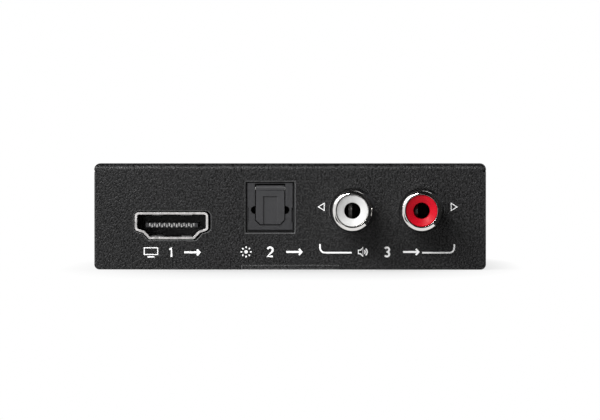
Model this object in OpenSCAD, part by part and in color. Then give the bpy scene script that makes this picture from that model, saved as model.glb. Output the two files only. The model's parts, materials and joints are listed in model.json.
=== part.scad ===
// An HDMI audio extractor: a folded steel case round one circuit board and its sockets.
// Sizes are in millimetres. X runs to the right as the output panel is seen, which faces -Y. Z is up.
// The origin is the middle of the case's underside.

/* [Case] */
// Width of the case
case_w = 80; // [67:1:100]
// Depth of the case, from the output panel to the input panel
case_d = 66; // [66:1:90]
// Height of the case
case_h = 21.7; // [18:0.1:25]
// Thickness of the cover's sheet
cover_t = 1; // [0.8:0.1:1.1]
// Inner radius of the cover's folds
fold_in_r = 0.25; // [0.1:0.05:0.6]
// Radius of the lower corners of the two panels
panel_corner_r = 1.1; // [0.6:0.1:1.6]
// Thickness of the bottom plate's sheet
plate_t = 1; // [0.8:0.1:1.2]
// Width of the two tabs that locate the bottom plate in the panels
tab_w = 20; // [12:1:30]
// Width of the bottom plate's four upright ears
ear_w = 8; // [7:0.5:10]

/* [Screws] */
// Thread radius of all the screws
screw_r = 1.25; // [1:0.05:1.3]
// Distance between the two screws of one side of the case
side_screw_span = 40; // [36:1:44]
// Height of the side screws above the underside
side_screw_z = 10.85; // [10:0.1:11.5]
// Length of the side screws
side_screw_len = 4; // [3.2:0.1:4.5]
// Head radius of the countersunk side screws
side_head_r = 2.2; // [2:0.05:2.5]
// Length of the board screws under the head
board_screw_len = 4; // [3.5:0.1:4.8]
// Head radius of the board screws
board_head_r = 2.2; // [2:0.05:2.3]
// Head height of the board screws
board_head_h = 1.6; // [1.2:0.1:2]

/* [Circuit board] */
// Share of the case's free height that is left under the board
under_board_share = 0.6; // [0.5:0.05:0.8]
// Thickness of the circuit board
board_t = 1.6; // [1:0.1:1.8]

/* [HDMI sockets] */
// Place of the output socket across the case, as a share of its width
hdmi_out_x_share = -0.3025; // [-0.305:0.0025:-0.29]
// Place of the input socket across the case, as a share of its width
hdmi_in_x_share = 0.225; // [0.2:0.005:0.28]
// Width of the metal shell
hdmi_w = 15; // [14.8:0.1:15.2]
// Height of the metal shell
hdmi_h = 5.5; // [5.4:0.1:5.8]
// Sheet thickness of the shell
hdmi_shell_t = 0.45; // [0.35:0.05:0.5]
// How far the shell stands out of the panel
hdmi_proud = 0.2; // [0:0.05:0.4]
// Depth of the shell behind the panel's face
hdmi_depth = 10.9; // [10:0.1:12]
// Width of the tongue beside its outermost contacts
tongue_margin = 0.7; // [0.5:0.1:0.9]
// Thickness of the tongue
tongue_t = 0.9; // [0.8:0.05:1.1]
// Distance between neighbouring contacts, upper and lower rows taken together
hdmi_pitch = 0.5; // [0.48:0.01:0.5]

/* [Optical socket] */
// Place of the optical socket across the case, as a share of its width
optical_x_share = -0.0506; // [-0.06:0.0002:-0.044]
// Width of the socket's collar in the panel
optical_w = 9.15; // [9:0.05:9.4]
// Height of the socket's collar in the panel
optical_h = 9.55; // [9.4:0.05:9.8]
// Thickness of the socket's rear wall, behind the emitter
optical_back_t = 1; // [0.6:0.1:2]
// Width of the shutter
shutter_w = 5.87; // [5.6:0.01:5.95]
// Thickness of the shutter's door
shutter_t = 0.8; // [0.6:0.05:0.9]
// Radius of the shutter's hinge barrel
shutter_barrel_r = 0.78; // [0.75:0.01:0.8]
// Radius of the shutter's hinge pin
shutter_pin_r = 0.4; // [0.3:0.05:0.4]

/* [Phono sockets] */
// Middle of the pair of phono sockets across the case, as a share of its width
phono_x_share = 0.2475; // [0.24:0.0005:0.255]
// Distance between the two phono sockets
phono_pitch = 14; // [13.8:0.1:14.5]
// Height of the phono sockets' axes above the board
phono_z = 5.9; // [5.7:0.1:6.4]
// Outer radius of the metal barrels
barrel_r = 4.1; // [4:0.05:4.2]
// Wall of the metal barrels
barrel_wall = 0.85; // [0.7:0.05:0.9]
// How far the barrels stand out of the panel
barrel_proud = 9; // [8:0.1:10]
// Radius of the hole that takes the plug's centre pin
pin_hole_r = 1.65; // [1.6:0.01:1.7]
// Gap between the barrels and the panel's holes round them
barrel_hole_gap = 0.55; // [0.3:0.05:0.7]
// Step in the barrels' radius behind the panel's face, where their body holds them
barrel_step = 0.25; // [0.2:0.05:0.3]

/* [Power inlet] */
// Place of the power inlet across the case, as a share of its width
power_x_share = -0.3; // [-0.32:0.01:-0.28]
// Width of the inlet's housing
power_w = 9; // [9:0.1:9.6]
// Thickness of the housing over the inlet's bore
power_roof = 1.4; // [0.8:0.1:2]
// Depth of the inlet behind the panel's face
power_depth = 14.4; // [14:0.1:14.8]
// Height of the inlet's axis above the board
power_z = 6.5; // [6.3:0.1:6.8]
// Radius of the inlet's bore
power_bore_r = 3.1; // [2.9:0.05:3.2]
// Radius of the inlet's centre pin
power_pin_r = 1; // [0.8:0.05:1.2]

/* [Mode switch] */
// Place of the slide switch across the case, as a share of its width
switch_x_share = -0.02; // [-0.035:0.005:0.02]
// Width of the switch's steel frame
switch_w = 12.4; // [12:0.1:13]
// Height of the switch's steel frame
switch_h = 5.3; // [5:0.1:5.6]
// Width of the sliding knob
knob_w = 3; // [2.5:0.1:3.2]
// Height of the sliding knob
knob_h = 1.8; // [1.4:0.1:2]
// How far the knob stands out of the panel
knob_proud = 1.6; // [0.5:0.1:3]
// Travel of the knob to each side of its middle position
knob_travel = 2; // [1.5:0.1:2]

/* [Power light] */
// Place of the power light across the case, as a share of its width
light_x_share = -0.165; // [-0.18:0.005:-0.155]
// Height of the power light above the board
light_z = 4.5; // [3:0.1:6]
// Radius of the lamp
light_r = 1.5; // [1:0.05:1.55]

/* [Electronics] */
// Side of the processor's package
processor_w = 14; // [12:0.5:14]
// Thickness of the processor's package
processor_h = 1.4; // [1:0.1:1.6]
// Side of the heatsink on the processor
heatsink_w = 14; // [12:0.5:16]
// Height of the heatsink
heatsink_h = 6; // [4:0.5:8]
// Number of fins on the heatsink
fin_count = 7; // [3:1:9]
// Radius of the audio capacitors
audio_can_r = 2.5; // [2:0.1:2.6]
// Radius of the power capacitors
power_can_r = 3.15; // [2.5:0.05:3.2]
// Height of all the capacitor cans
can_h = 5.4; // [4.5:0.1:7]

/* [Hidden] */
$fn = 64;

// Overrun of every cut
cut = 0.5;
// Steps in a quarter of a drawn arc
arc_steps = 6;

// Case: running gap round the bottom plate, seam between the cover's folds and relief at its corners
plate_gap = 0.1;
seam_gap = 0.15;
relief_w = 0.6;
relief_h = 0.4;
relief_drop = 1.4;
// Slits that free the ears, beside them and into the plate
ear_slit_w = 0.8;
ear_slit_d = 1.6;
// Height of the ears above their screws
ear_over_screw = 3.55;
ear_h = side_screw_z + ear_over_screw;
fold_r = fold_in_r + cover_t;
cover_in_w = case_w - 2 * cover_t;
cover_in_d = case_d - 2 * cover_t;
plate_w = case_w - 2 * panel_corner_r;
plate_d = cover_in_d - 2 * plate_gap;
ear_out_x = cover_in_w / 2 - plate_gap;

// Screws: play round a shank, play in a thread, sink of a countersunk head and its cross recess
shank_play = 0.15;
thread_play = 0.05;
head_sink = 0.05;
cross_l = 2.4;
cross_w = 0.5;
cross_d = 0.7;
head_round = 0.4;

// Standoffs: body and the shank that is clinched in the plate
standoff_r = 2.6;
clinch_r = 1.9;
clinch_play = 0.03;

// Board: edge gaps, corner radius, hole play and length of the legs under it
board_edge_gap = 0.5;
board_panel_gap = 0.3;
board_corner_r = 1;
hole_play = 0.2;
leg_drop = 2.4;
// Distance of the board's screws from its side edges, and between its front and rear screws
board_screw_edge = 3.6;
board_span_y = 32;
// Height of the tallest socket on the board
optical_body_h = 12.1;
standoff_h = under_board_share * (case_h - cover_t - plate_t - board_t - optical_body_h);
board_bottom = plate_t + standoff_h;
board_top = board_bottom + board_t;
board_w = 2 * (ear_out_x - plate_t - board_edge_gap);
board_span_x = board_w - 2 * board_screw_edge;
board_d = cover_in_d - 2 * board_panel_gap;

// HDMI: outline of the shell, its cut-out, tongue, contacts, spring fingers and legs
hdmi_top_r = 0.85;
hdmi_side_r = 0.75;
hdmi_side_z = 2.4;
hdmi_side_turn = 80;
hdmi_knee_z = 1.3;
hdmi_ledge_w = 0.87;
hdmi_knee_w = 0.83;
hdmi_slope_w = 1.2;
hdmi_knee_x = hdmi_w / 2 - hdmi_ledge_w - hdmi_knee_w;
hdmi_foot_x = hdmi_knee_x - hdmi_slope_w;
hdmi_cut_gap = 0.2;
hdmi_cut_shift = 0.3;
hdmi_fit = 0.05;
tongue_z = 2.85;
tongue_back = 1.2;
hdmi_block_y = 7.6;
contact_count = 19;
contact_w = 0.3;
contact_t = 0.25;
contact_foot_l = 0.7;
tongue_w = (contact_count - 1) * hdmi_pitch + contact_w + 2 * tongue_margin;
finger_w = 2.2;
finger_l = 4.2;
finger_y = 0.8;
finger_margin = 0.5;
finger_x = hdmi_foot_x - finger_w / 2 - finger_margin;
finger_t = 0.2;
finger_dip = 0.4;
finger_slit = 0.25;
hdmi_leg_w = 1.4;
hdmi_leg_ys = [3.6, 8.4];

// Optical socket: places on the board, panel gap, opening, shutter and emitter
behind_panel = 0.1;
optical_foot = 1.93;
optical_body_w = 9.7;
optical_recess = 0.35;
optical_cut_side = 0.425;
optical_cut_under = 0.61;
optical_cut_over = 0.24;
optical_notch = 0.2;
optical_notch_zs = [3.5, 6.4];
opening_gap = 0.17;
opening_chamfer = 0.95;
key_r = 0.8;
key_gap = 0.215;
key_x = shutter_w / 2 + key_gap;
key_depth = 5;
optical_axis_z = 5.96;
shutter_rise = 1.05;
shutter_foot = optical_foot + shutter_rise;
shutter_back = 0.1;
shutter_axis_z = 10.4;
shutter_fold = 0.12;
shutter_dent_w = 2.84;
shutter_dent_h = 5.77;
shutter_dent_d = 0.25;
shutter_play = 0.03;
pin_end_gap = 0.9;
guide_r = 1.5;
emitter_w = 5.2;
emitter_foot = 2;
emitter_h = 6.5;
emitter_t = 2.2;
emitter_play = 0.1;
lens_r = 1.1;
optical_lead_w = 0.5;
optical_lead_t = 0.3;
optical_lead_pitch = 1.9;
peg_r = 0.75;
peg_x = 3.6;
peg_y = 5.5;
peg_l = 1.5;
shutter_y = optical_recess + shutter_back;
shutter_axis_y = shutter_y + shutter_barrel_r;
// Space over and behind the open shutter, and the wall before the emitter
cavity_gap = 0.95;
cavity_wall = 0.8;
cavity_top = shutter_axis_z + cavity_gap;
cavity_end = shutter_axis_y + shutter_axis_z - shutter_foot + cavity_gap;
emitter_y = cavity_end + cavity_wall;
optical_depth = emitter_y + emitter_t + optical_back_t;

// Torsion spring of the shutter: wire, coil and the places of its two legs
spring_wire_r = 0.1;
spring_coil_r = 0.62;
spring_turns = 2.75;
spring_pitch = 0.24;
spring_gap = 0.315;
spring_x = shutter_w / 2 + spring_gap;
spring_rings = 28;
spring_sides = 6;
spring_pocket_r = 0.85;
spring_end_gap = 0.29;
spring_slot_w = 0.5;
spring_slot_d = 1.2;
spring_leg_l = 3.2;
spring_knee_drop = 1.3;
spring_toe_drop = 1.6;
spring_toe_l = 0.735;
spring_knee_z = shutter_axis_z - spring_knee_drop;
spring_toe_x = shutter_w / 2 - spring_toe_l;
spring_toe_z = shutter_axis_z - spring_toe_drop;
spring_toe_gap = 0.03;

// Phono sockets: body, seats, dish, chamber of the contact and the terminals
phono_wall = 0.65;
phono_body_h = 11.4;
phono_body_y = 12.6;
phono_seat_y = 5;
phono_play = 0.05;
barrel_in_r = barrel_r - barrel_wall;
barrel_seat_r = barrel_r - barrel_step;
rim_out = 0.35;
rim_in = 0.25;
dish_recess = 0.35;
dish_lip = 0.3;
dish_r = barrel_in_r - dish_lip;
dish_depth = 0.6;
pin_hole_l = 2.6;
chamber_step = 0.6;
chamber_r = pin_hole_r + chamber_step;
contact_gap = 0.1;
contact_out_r = chamber_r - contact_gap;
contact_wall = 0.3;
contact_in_r = contact_out_r - contact_wall;
contact_slot_w = 0.5;
contact_slot_l = 7;
contact_disc_t = 0.5;
strap_w = 1.4;
strap_t = 0.4;
strap_gap = 0.1;
barrel_leg_w = 1.8;
barrel_leg_t = 0.5;
barrel_leg_y = 1.6;
barrel_leg_sink = 0.5;

// Power inlet: bore depth, pin, leaf and lugs
power_hole_gap = 0.5;
power_bore_back = 2.9;
power_bore_y = power_depth - power_bore_back;
power_pin_y = 2.4;
power_pin_tip = 0.4;
power_lug_w = 2.5;
power_lug_t = 0.5;
power_lug_gap = 0.05;
power_rivet = 0.2;
leaf_w = 1.8;
leaf_t = 0.3;
leaf_z = 2.6;
leaf_rise = 1.1;
leaf_front_y = 3.2;
leaf_back = 2;
leaf_back_y = power_depth - leaf_back;
leaf_play = 0.1;
break_w = 2;
break_t = 0.4;
break_y = 8;
break_h = 5.5;
break_inset = 0.1;

// Mode switch: sheet, inner pieces and panel slot
switch_front = 0.15;
switch_t = 0.4;
switch_d = 4.6;
knob_z = 2.8;
window_play = 0.2;
slot_margin_x = 0.5;
slot_margin_z = 0.45;
slider_w = 6.4;
slider_gap = 0.15;
slider_roof_gap = 0.3;
wiper_room = 0.75;
base_gap = 0.3;
base_roof_gap = 0.1;
base_t = 1;
pad_w = 1.6;
pad_h = 3;
pad_z = 1.2;
pad_t = 0.2;
tail_w = 0.6;
pad_pitch = 2.6;
pad_count = 4;
wiper_gap = 0.05;
wiper_t = 0.12;
wiper_w = 5.2;
wiper_h = 1;
switch_leg_w = 1.2;
slider_h = 2 * (switch_h - switch_t - slider_roof_gap - knob_z);
slider_d = switch_d - switch_t - slider_gap - wiper_room - pad_t - base_t;
base_w = switch_w - 2 * (switch_t + base_gap);
base_h = switch_h - switch_t - base_roof_gap;

// Power light: dome, flange, holder and leads
light_play = 0.1;
light_dome_proud = 0.4;
light_body_l = 3.6;
light_flange_w = 0.4;
light_flange_t = 0.8;
holder_wall = 0.8;
holder_front = 0.2;
light_lead_w = 0.5;
light_lead_gap = 1.27;
light_lead_l = 2;

// Packages: body lift over the board, lead sheet and the dot that marks the first lead
chip_lift = 0.1;
lead_t = 0.15;
dot_r = 0.5;
dot_d = 0.1;
qfp_lead_w = 0.3;
qfp_reach = 1;
qfp_foot = 0.5;
qfp_pitch = 0.65;
qfp_count = 20;
small_lead_w = 0.4;
small_reach = 1;
small_foot = 0.5;
thermal_pad_t = 0.5;
fin_t = 0.8;
heatsink_base_t = 1.5;

// Sizes of the packages (width, depth, height), leads a side and their pitch
converter_size = [10.3, 4.4, 1.6];
converter_leads = 8;
converter_pitch = 1.27;
controller_size = [7, 7, 1.4];
controller_leads = 8;
controller_pitch = 0.8;
memory_size = [4.9, 3.9, 1.6];
memory_leads = 4;
memory_pitch = 1.27;
receiver_size = [7, 7, 0.9];
regulator_size = [6.5, 3.5, 1.6];
regulator_pitch = 2.3;
regulator_leads = 3;
regulator_lead_w = 0.7;
regulator_tab_w = 3;
crystal_size = [10.6, 4.4, 3.3];
crystal_flange = 0.4;
crystal_flange_h = 0.5;
inductor_size = [6, 6, 3];
inductor_chamfer = 1.2;
inductor_core_r = 2.2;
inductor_core_d = 0.3;
can_base_t = 1;
can_base_gap = 0.3;
can_base_chamfer = 1;
can_groove_w = 0.3;
can_groove_d = 0.2;
can_groove_share = 1.2;
// Small parts: length, width, height and end cap of a capacitor and a resistor, and their spacing in rows
capacitor_size = [1.6, 0.8, 0.8];
resistor_size = [1.6, 0.8, 0.45];
end_cap_l = 0.3;
row_pitch_x = 2.4;
row_pitch_y = 2;

// Places of the packages, as shares of the distances between the board's screws, from its middle
processor_share = [-0.18, 0.03];
converter_share = [0.28, -0.12];
controller_share = [0.14, 0.19];
memory_share = [-0.41, -0.14];
receiver_share = [0.34, 0.26];
regulator_share = [-0.41, 0.1];
crystal_share = [-0.18, -0.405];
inductor_share = [-0.245, 0.48];
audio_can_shares = [[0.15, -0.47], [0.27, -0.47], [0.39, -0.47]];
power_can_shares = [[-0.41, 0.35], [0.03, -0.26]];
// Rows of small parts: share of the first place, steps right and back to the next one, and how many
capacitor_row_shares = [
    [[-0.25, 0.355], [1, 0], 3], [[-0.25, -0.29], [1, 0], 5], [[0.215, -0.27], [1, 0], 5],
    [[0.02, 0.08], [0, 1], 5], [[0.25, 0.17], [0, 1], 4], [[0.43, 0.17], [0, 1], 4]
];
resistor_row_shares = [
    [[-0.44, -0.37], [1, 0], 4], [[-0.44, -0.45], [1, 0], 4], [[-0.03, 0.39], [0, 1], 4],
    [[0.215, 0.027], [1, 0], 5], [[0.06, -0.59], [0, 1], 4]
];
// How steep a wire's stretch may be before its rings are turned by depth
steep_share = 0.9;

function unit(v) = v / norm(v);
function left_of(v) = [-v[1], v[0]];
// Points of an arc round c, from angle a0 to angle a1
function arc(c, r, a0, a1, n = arc_steps) =
    [for (i = [0:n]) let(a = a0 + (a1 - a0) * i / n) c + r * [cos(a), sin(a)]];
// An anticlockwise outline drawn in by d, or out where d is negative
function inset(points, d) = [
    for (i = [0:len(points) - 1])
        let(
            last = points[(i + len(points) - 1) % len(points)],
            next = points[(i + 1) % len(points)],
            n1 = left_of(unit(points[i] - last)),
            n2 = left_of(unit(next - points[i]))
        )
        points[i] + d * (n1 + n2) / (1 + n1 * n2)
];
function mirrored(points) = [for (i = [len(points) - 1:-1:0]) [-points[i][0], points[i][1]]];

// A block centred across x, between two depths and two heights
module slab(w, y0, y1, z0, z1, x = 0) {
    translate([x - w / 2, y0, z0]) cube([w, y1 - y0, z1 - z0]);
}
// An upright outline pushed through from y0 to y1
module through(y0, y1) {
    translate([0, y1, 0]) rotate([90, 0, 0]) linear_extrude(y1 - y0) children();
}
// A side outline pushed across from x0 to x1
module across(x0, x1) {
    translate([x0, 0, 0]) rotate([90, 0, 90]) linear_extrude(x1 - x0) children();
}
module rod_x(r, x0, x1, y, z) {
    translate([x0, y, z]) rotate([0, 90, 0]) cylinder(h = x1 - x0, r = r);
}
module rod_y(r, y0, y1, z = 0, x = 0) {
    translate([x, y0, z]) rotate([-90, 0, 0]) cylinder(h = y1 - y0, r = r);
}
// A turned piece: its half section is a list of radius and depth
module turned(points, z = 0, x = 0) {
    translate([x, 0, z]) rotate([-90, 0, 0]) rotate_extrude() polygon(points);
}
// The sockets are drawn with their mouths on the panel's face, depth along +Y and z = 0 on the board
module at_output(share) {
    translate([share * case_w, -case_d / 2, board_top]) children();
}
module at_input(share) {
    translate([share * case_w, case_d / 2, board_top]) rotate(180) children();
}
// A place on the board, by its share of the distances between the board's screws
module on_board(share) {
    translate([share[0] * board_span_x, share[1] * board_span_y, board_top]) children();
}
module at_board_screws() {
    for (x = [-1, 1], y = [-1, 1])
        translate([x * board_span_x / 2, y * board_span_y / 2, 0]) children();
}
// The side screws point inwards along their own -z, with z = 0 on the side's face
module at_side_screws() {
    for (side = [-1, 1], y = [-1, 1])
        translate([side * case_w / 2, y * side_screw_span / 2, side_screw_z])
            rotate([0, 90 * side, 0]) children();
}
module cross_recess(z) {
    for (turn = [0, 90])
        translate([0, 0, z - cross_d]) rotate(turn)
            translate([-cross_l / 2, -cross_w / 2, 0]) cube([cross_l, cross_w, cross_d + cut]);
}
// A wire along a list of points: rings that stand square to the path
function ring(p, dir, r, sides) =
    let(
        side = unit(cross(dir, abs(dir[2]) > steep_share ? [0, 1, 0] : [0, 0, 1])),
        up = cross(side, dir)
    )
    [for (i = [0:sides - 1]) let(a = 360 * i / sides) p + r * (cos(a) * side + sin(a) * up)];
module wire(path, r, sides) {
    last = len(path) - 1;
    rings = [
        for (i = [0:last])
            ring(path[i], unit(path[min(i + 1, last)] - path[max(i - 1, 0)]), r, sides)
    ];
    points = [for (one = rings, p = one) p];
    walls = [
        for (i = [0:last - 1], k = [0:sides - 1])
            let(a = i * sides + k, b = i * sides + (k + 1) % sides)
            each [[a, a + sides, b], [b, a + sides, b + sides]]
    ];
    start = [for (k = [1:sides - 2]) [0, k, k + 1]];
    end = [for (k = [1:sides - 2]) [last * sides, last * sides + k + 1, last * sides + k]];
    polyhedron(points, concat(walls, start, end));
}

// Case

// A block with round upper edges along both its ways, as the folded sheet has
module folded_block(w, d, h, r) {
    intersection() {
        across(-w / 2, w / 2) arch(d, h, r);
        through(-d / 2, d / 2) arch(w, h, r);
    }
}
module arch(w, h, r) {
    translate([-w / 2, 0]) square([w, h - r]);
    translate([-w / 2 + r, 0]) square([w - 2 * r, h]);
    for (side = [-1, 1]) translate([side * (w / 2 - r), h - r]) circle(r);
}
module hdmi_cut_out() {
    for (shift = [0, hdmi_cut_shift])
        translate([shift, 0]) polygon(inset(hdmi_outline(), -hdmi_cut_gap));
}
module output_panel_cuts() {
    at_output(hdmi_out_x_share) through(-cut, cover_t + cut) hdmi_cut_out();
    at_output(optical_x_share)
        slab(
            optical_w + 2 * optical_cut_side, -cut, cover_t + cut,
            optical_foot - optical_cut_under, optical_foot + optical_h + optical_cut_over
        );
    at_output(phono_x_share)
        for (side = [-1, 1])
            rod_y(barrel_r + barrel_hole_gap, -cut, cover_t + cut, phono_z, side * phono_pitch / 2);
}
module input_panel_cuts() {
    at_input(hdmi_in_x_share) through(-cut, cover_t + cut) hdmi_cut_out();
    at_input(power_x_share) rod_y(power_bore_r + power_hole_gap, -cut, cover_t + cut, power_z);
    at_input(light_x_share) rod_y(light_r + light_play, -cut, cover_t + cut, light_z);
    at_input(switch_x_share) {
        r = knob_h / 2 + slot_margin_z;
        reach = knob_w / 2 + knob_travel + slot_margin_x - r;
        slab(2 * reach, -cut, cover_t + cut, knob_z - r, knob_z + r);
        for (side = [-1, 1]) rod_y(r, -cut, cover_t + cut, knob_z, side * reach);
    }
}
// The four upright seams where the sides butt behind the panels, and the relief above each
module corner_seams() {
    relief_z = case_h - relief_drop;
    for (x = [-1, 1], y = [-1, 1])
        scale([x, y, 1]) {
            translate([cover_in_w / 2 - cut, cover_in_d / 2 - seam_gap, -cut])
                cube([cover_t + 2 * cut, seam_gap, relief_z + cut]);
            translate([case_w / 2 - relief_w, cover_in_d / 2 - seam_gap, relief_z - relief_h])
                cube([relief_w + cut, cover_t + seam_gap + cut, relief_h]);
        }
}
// The rounded lower corners of the panels
module panel_corners() {
    for (side = [-1, 1])
        scale([side, 1, 1])
            through(-case_d / 2 - cut, case_d / 2 + cut)
                translate([case_w / 2 - panel_corner_r, 0])
                    difference() {
                        translate([0, -cut]) square([panel_corner_r + cut, panel_corner_r + cut]);
                        translate([0, panel_corner_r]) circle(panel_corner_r);
                    }
}
module top_cover() {
    color("#2b2c2e")
        difference() {
            folded_block(case_w, case_d, case_h, fold_r);
            translate([0, 0, -cut])
                folded_block(cover_in_w, cover_in_d, case_h - cover_t + cut, fold_in_r);
            output_panel_cuts();
            input_panel_cuts();
            corner_seams();
            panel_corners();
            // The sides end above the bottom plate
            for (side = [-1, 1])
                slab(
                    4 * cover_t, -cover_in_d / 2, cover_in_d / 2,
                    -cut, panel_corner_r, side * case_w / 2
                );
            // Notches for the bottom plate's tabs
            slab(
                tab_w + 2 * plate_gap, -case_d / 2 - cut, case_d / 2 + cut,
                -cut, plate_t + plate_gap
            );
            at_side_screws() {
                translate([0, 0, -cover_t - cut]) cylinder(h = cover_t + 2 * cut, r = screw_r + shank_play);
                translate([0, 0, -cover_t])
                    cylinder(
                        h = cover_t + cut,
                        r1 = side_head_r - cover_t + shank_play,
                        r2 = side_head_r + cut + shank_play
                    );
            }
        }
}
module bottom_plate() {
    ear_in_x = ear_out_x - plate_t;
    color("#2b2c2e")
        difference() {
            union() {
                slab(plate_w, -plate_d / 2, plate_d / 2, 0, plate_t);
                slab(tab_w, -case_d / 2, case_d / 2, 0, plate_t);
                for (side = [-1, 1], y = [-1, 1])
                    slab(
                        plate_t,
                        y * side_screw_span / 2 - ear_w / 2, y * side_screw_span / 2 + ear_w / 2,
                        0, ear_h, side * (ear_out_x - plate_t / 2)
                    );
            }
            // Slits beside the ears
            for (side = [-1, 1], y = [-1, 1], end = [-1, 1])
                translate([
                    side * (plate_w / 2 + cut - (ear_slit_d + cut) / 2),
                    y * side_screw_span / 2 + end * (ear_w + ear_slit_w) / 2,
                    plate_t / 2
                ])
                    cube([ear_slit_d + cut, ear_slit_w, plate_t + 2 * cut], center = true);
            at_side_screws()
                translate([0, 0, -2 * (cover_t + plate_gap + plate_t)])
                    cylinder(h = 2 * (cover_t + plate_gap + plate_t), r = screw_r + thread_play);
            at_board_screws()
                translate([0, 0, -cut]) cylinder(h = plate_t + 2 * cut, r = clinch_r + clinch_play);
        }
}
module side_screws() {
    color("#1f2022")
        at_side_screws()
            difference() {
                union() {
                    translate([0, 0, -side_screw_len]) cylinder(h = side_screw_len - head_sink, r = screw_r);
                    translate([0, 0, -head_sink - side_head_r + screw_r])
                        cylinder(h = side_head_r - screw_r, r1 = screw_r, r2 = side_head_r);
                }
                cross_recess(-head_sink);
            }
}
module board_standoffs() {
    color("#c9c4b4")
        at_board_screws()
            difference() {
                union() {
                    translate([0, 0, plate_t]) cylinder(h = standoff_h, r = standoff_r);
                    cylinder(h = plate_t + standoff_h, r = clinch_r);
                }
                translate([0, 0, -cut])
                    cylinder(h = plate_t + standoff_h + 2 * cut, r = screw_r + thread_play);
            }
}
module board_screws() {
    color("#d6d6d2")
        at_board_screws()
            translate([0, 0, board_top])
                difference() {
                    union() {
                        translate([0, 0, -board_screw_len]) cylinder(h = board_screw_len + cut, r = screw_r);
                        cylinder(h = board_head_h - head_round, r = board_head_r);
                        translate([0, 0, board_head_h - head_round])
                            cylinder(h = head_round, r1 = board_head_r, r2 = board_head_r - head_round);
                    }
                    cross_recess(board_head_h);
                }
}

// Circuit board

module board_hole(x, y, w, d) {
    translate([x, y, -board_t / 2])
        cube([w + 2 * hole_play, d + 2 * hole_play, board_t + 2 * cut], center = true);
}
module hdmi_board_holes() {
    for (side = [-1, 1], y = hdmi_leg_ys)
        board_hole(side * (hdmi_w - hdmi_shell_t) / 2, y + hdmi_leg_w / 2, hdmi_shell_t, hdmi_leg_w);
}
module optical_board_holes() {
    for (i = [-1, 0, 1])
        board_hole(i * optical_lead_pitch, optical_lead_y(), optical_lead_w, optical_lead_t);
    for (side = [-1, 1])
        translate([side * peg_x, peg_y, -board_t - cut])
            cylinder(h = board_t + 2 * cut, r = peg_r + hole_play);
}
module phono_board_holes() {
    for (side = [-1, 1]) {
        board_hole(side * phono_pitch / 2, barrel_leg_y + barrel_leg_t / 2, barrel_leg_w, barrel_leg_t);
        board_hole(side * phono_pitch / 2, phono_body_y + strap_gap + strap_t / 2, strap_w, strap_t);
    }
}
module power_board_holes() {
    board_hole(0, power_depth + power_lug_gap + power_lug_t / 2, power_lug_w, power_lug_t);
    board_hole(0, leaf_back_y + leaf_t / 2, leaf_w, leaf_t);
    board_hole(power_w / 2 - break_inset - break_t / 2, break_y + break_w / 2, break_t, break_w);
}
module switch_board_holes() {
    for (i = [0:pad_count - 1])
        board_hole(pad_x(i), switch_pad_y() + pad_t / 2, tail_w, pad_t);
    for (side = [-1, 1])
        board_hole(
            side * (switch_w - switch_t) / 2, switch_y() + switch_d / 2, switch_t, switch_leg_w
        );
}
module light_board_holes() {
    for (side = [-1, 1])
        board_hole(side * light_lead_gap, light_lead_y() + light_lead_w / 2, light_lead_w, light_lead_w);
}
module circuit_board() {
    color("#0f5a34")
        difference() {
            translate([0, 0, board_bottom])
                linear_extrude(board_t) {
                    square([board_w - 2 * board_corner_r, board_d], center = true);
                    square([board_w, board_d - 2 * board_corner_r], center = true);
                    for (x = [-1, 1], y = [-1, 1])
                        translate([
                            x * (board_w / 2 - board_corner_r), y * (board_d / 2 - board_corner_r)
                        ])
                            circle(board_corner_r);
                }
            at_board_screws()
                translate([0, 0, board_bottom - cut])
                    cylinder(h = board_t + 2 * cut, r = screw_r + shank_play);
            at_output(hdmi_out_x_share) hdmi_board_holes();
            at_input(hdmi_in_x_share) hdmi_board_holes();
            at_output(optical_x_share) optical_board_holes();
            at_output(phono_x_share) phono_board_holes();
            at_input(power_x_share) power_board_holes();
            at_input(switch_x_share) switch_board_holes();
            at_input(light_x_share) light_board_holes();
        }
}

// HDMI sockets

function hdmi_half() = concat(
    [[hdmi_foot_x, 0], [hdmi_knee_x, hdmi_knee_z]],
    arc([hdmi_w / 2 - hdmi_side_r, hdmi_side_z], hdmi_side_r, -hdmi_side_turn, 0),
    arc([hdmi_w / 2 - hdmi_top_r, hdmi_h - hdmi_top_r], hdmi_top_r, 0, 90)
);
function hdmi_outline() = concat(hdmi_half(), mirrored(hdmi_half()));
// A window in the shell's wall with a bent spring finger in it, for the roof at z = 0 facing down
module finger_window() {
    slab(
        finger_w + 2 * finger_slit, finger_y + hdmi_proud, finger_y + finger_l + finger_slit,
        -cut, hdmi_shell_t + cut
    );
}
module finger() {
    back = finger_y + finger_l + 2 * finger_slit;
    front = finger_y + 2 * hdmi_proud + finger_slit;
    dip_y = front + finger_l / 4;
    across(-finger_w / 2, finger_w / 2)
        polygon([
            [back, hdmi_shell_t], [back, hdmi_shell_t - finger_t],
            [dip_y, -finger_dip], [front, finger_t - finger_dip],
            [front, 2 * finger_t - finger_dip], [dip_y, finger_t - finger_dip]
        ]);
}
module at_fingers() {
    for (side = [-1, 1])
        translate([side * finger_x, 0, 0]) {
            translate([0, 0, hdmi_h - hdmi_shell_t]) children();
            translate([0, 0, hdmi_shell_t]) scale([1, 1, -1]) children();
        }
}
module hdmi_shell() {
    color("#c8c6c2") {
        difference() {
            through(-hdmi_proud, hdmi_depth) polygon(hdmi_outline());
            through(-hdmi_proud - cut, hdmi_depth + cut) polygon(inset(hdmi_outline(), hdmi_shell_t));
            at_fingers() finger_window();
        }
        at_fingers() finger();
        for (side = [-1, 1], y = hdmi_leg_ys)
            slab(
                hdmi_shell_t, y, y + hdmi_leg_w,
                -leg_drop, hdmi_side_z + hdmi_shell_t, side * (hdmi_w - hdmi_shell_t) / 2
            );
    }
}
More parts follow.
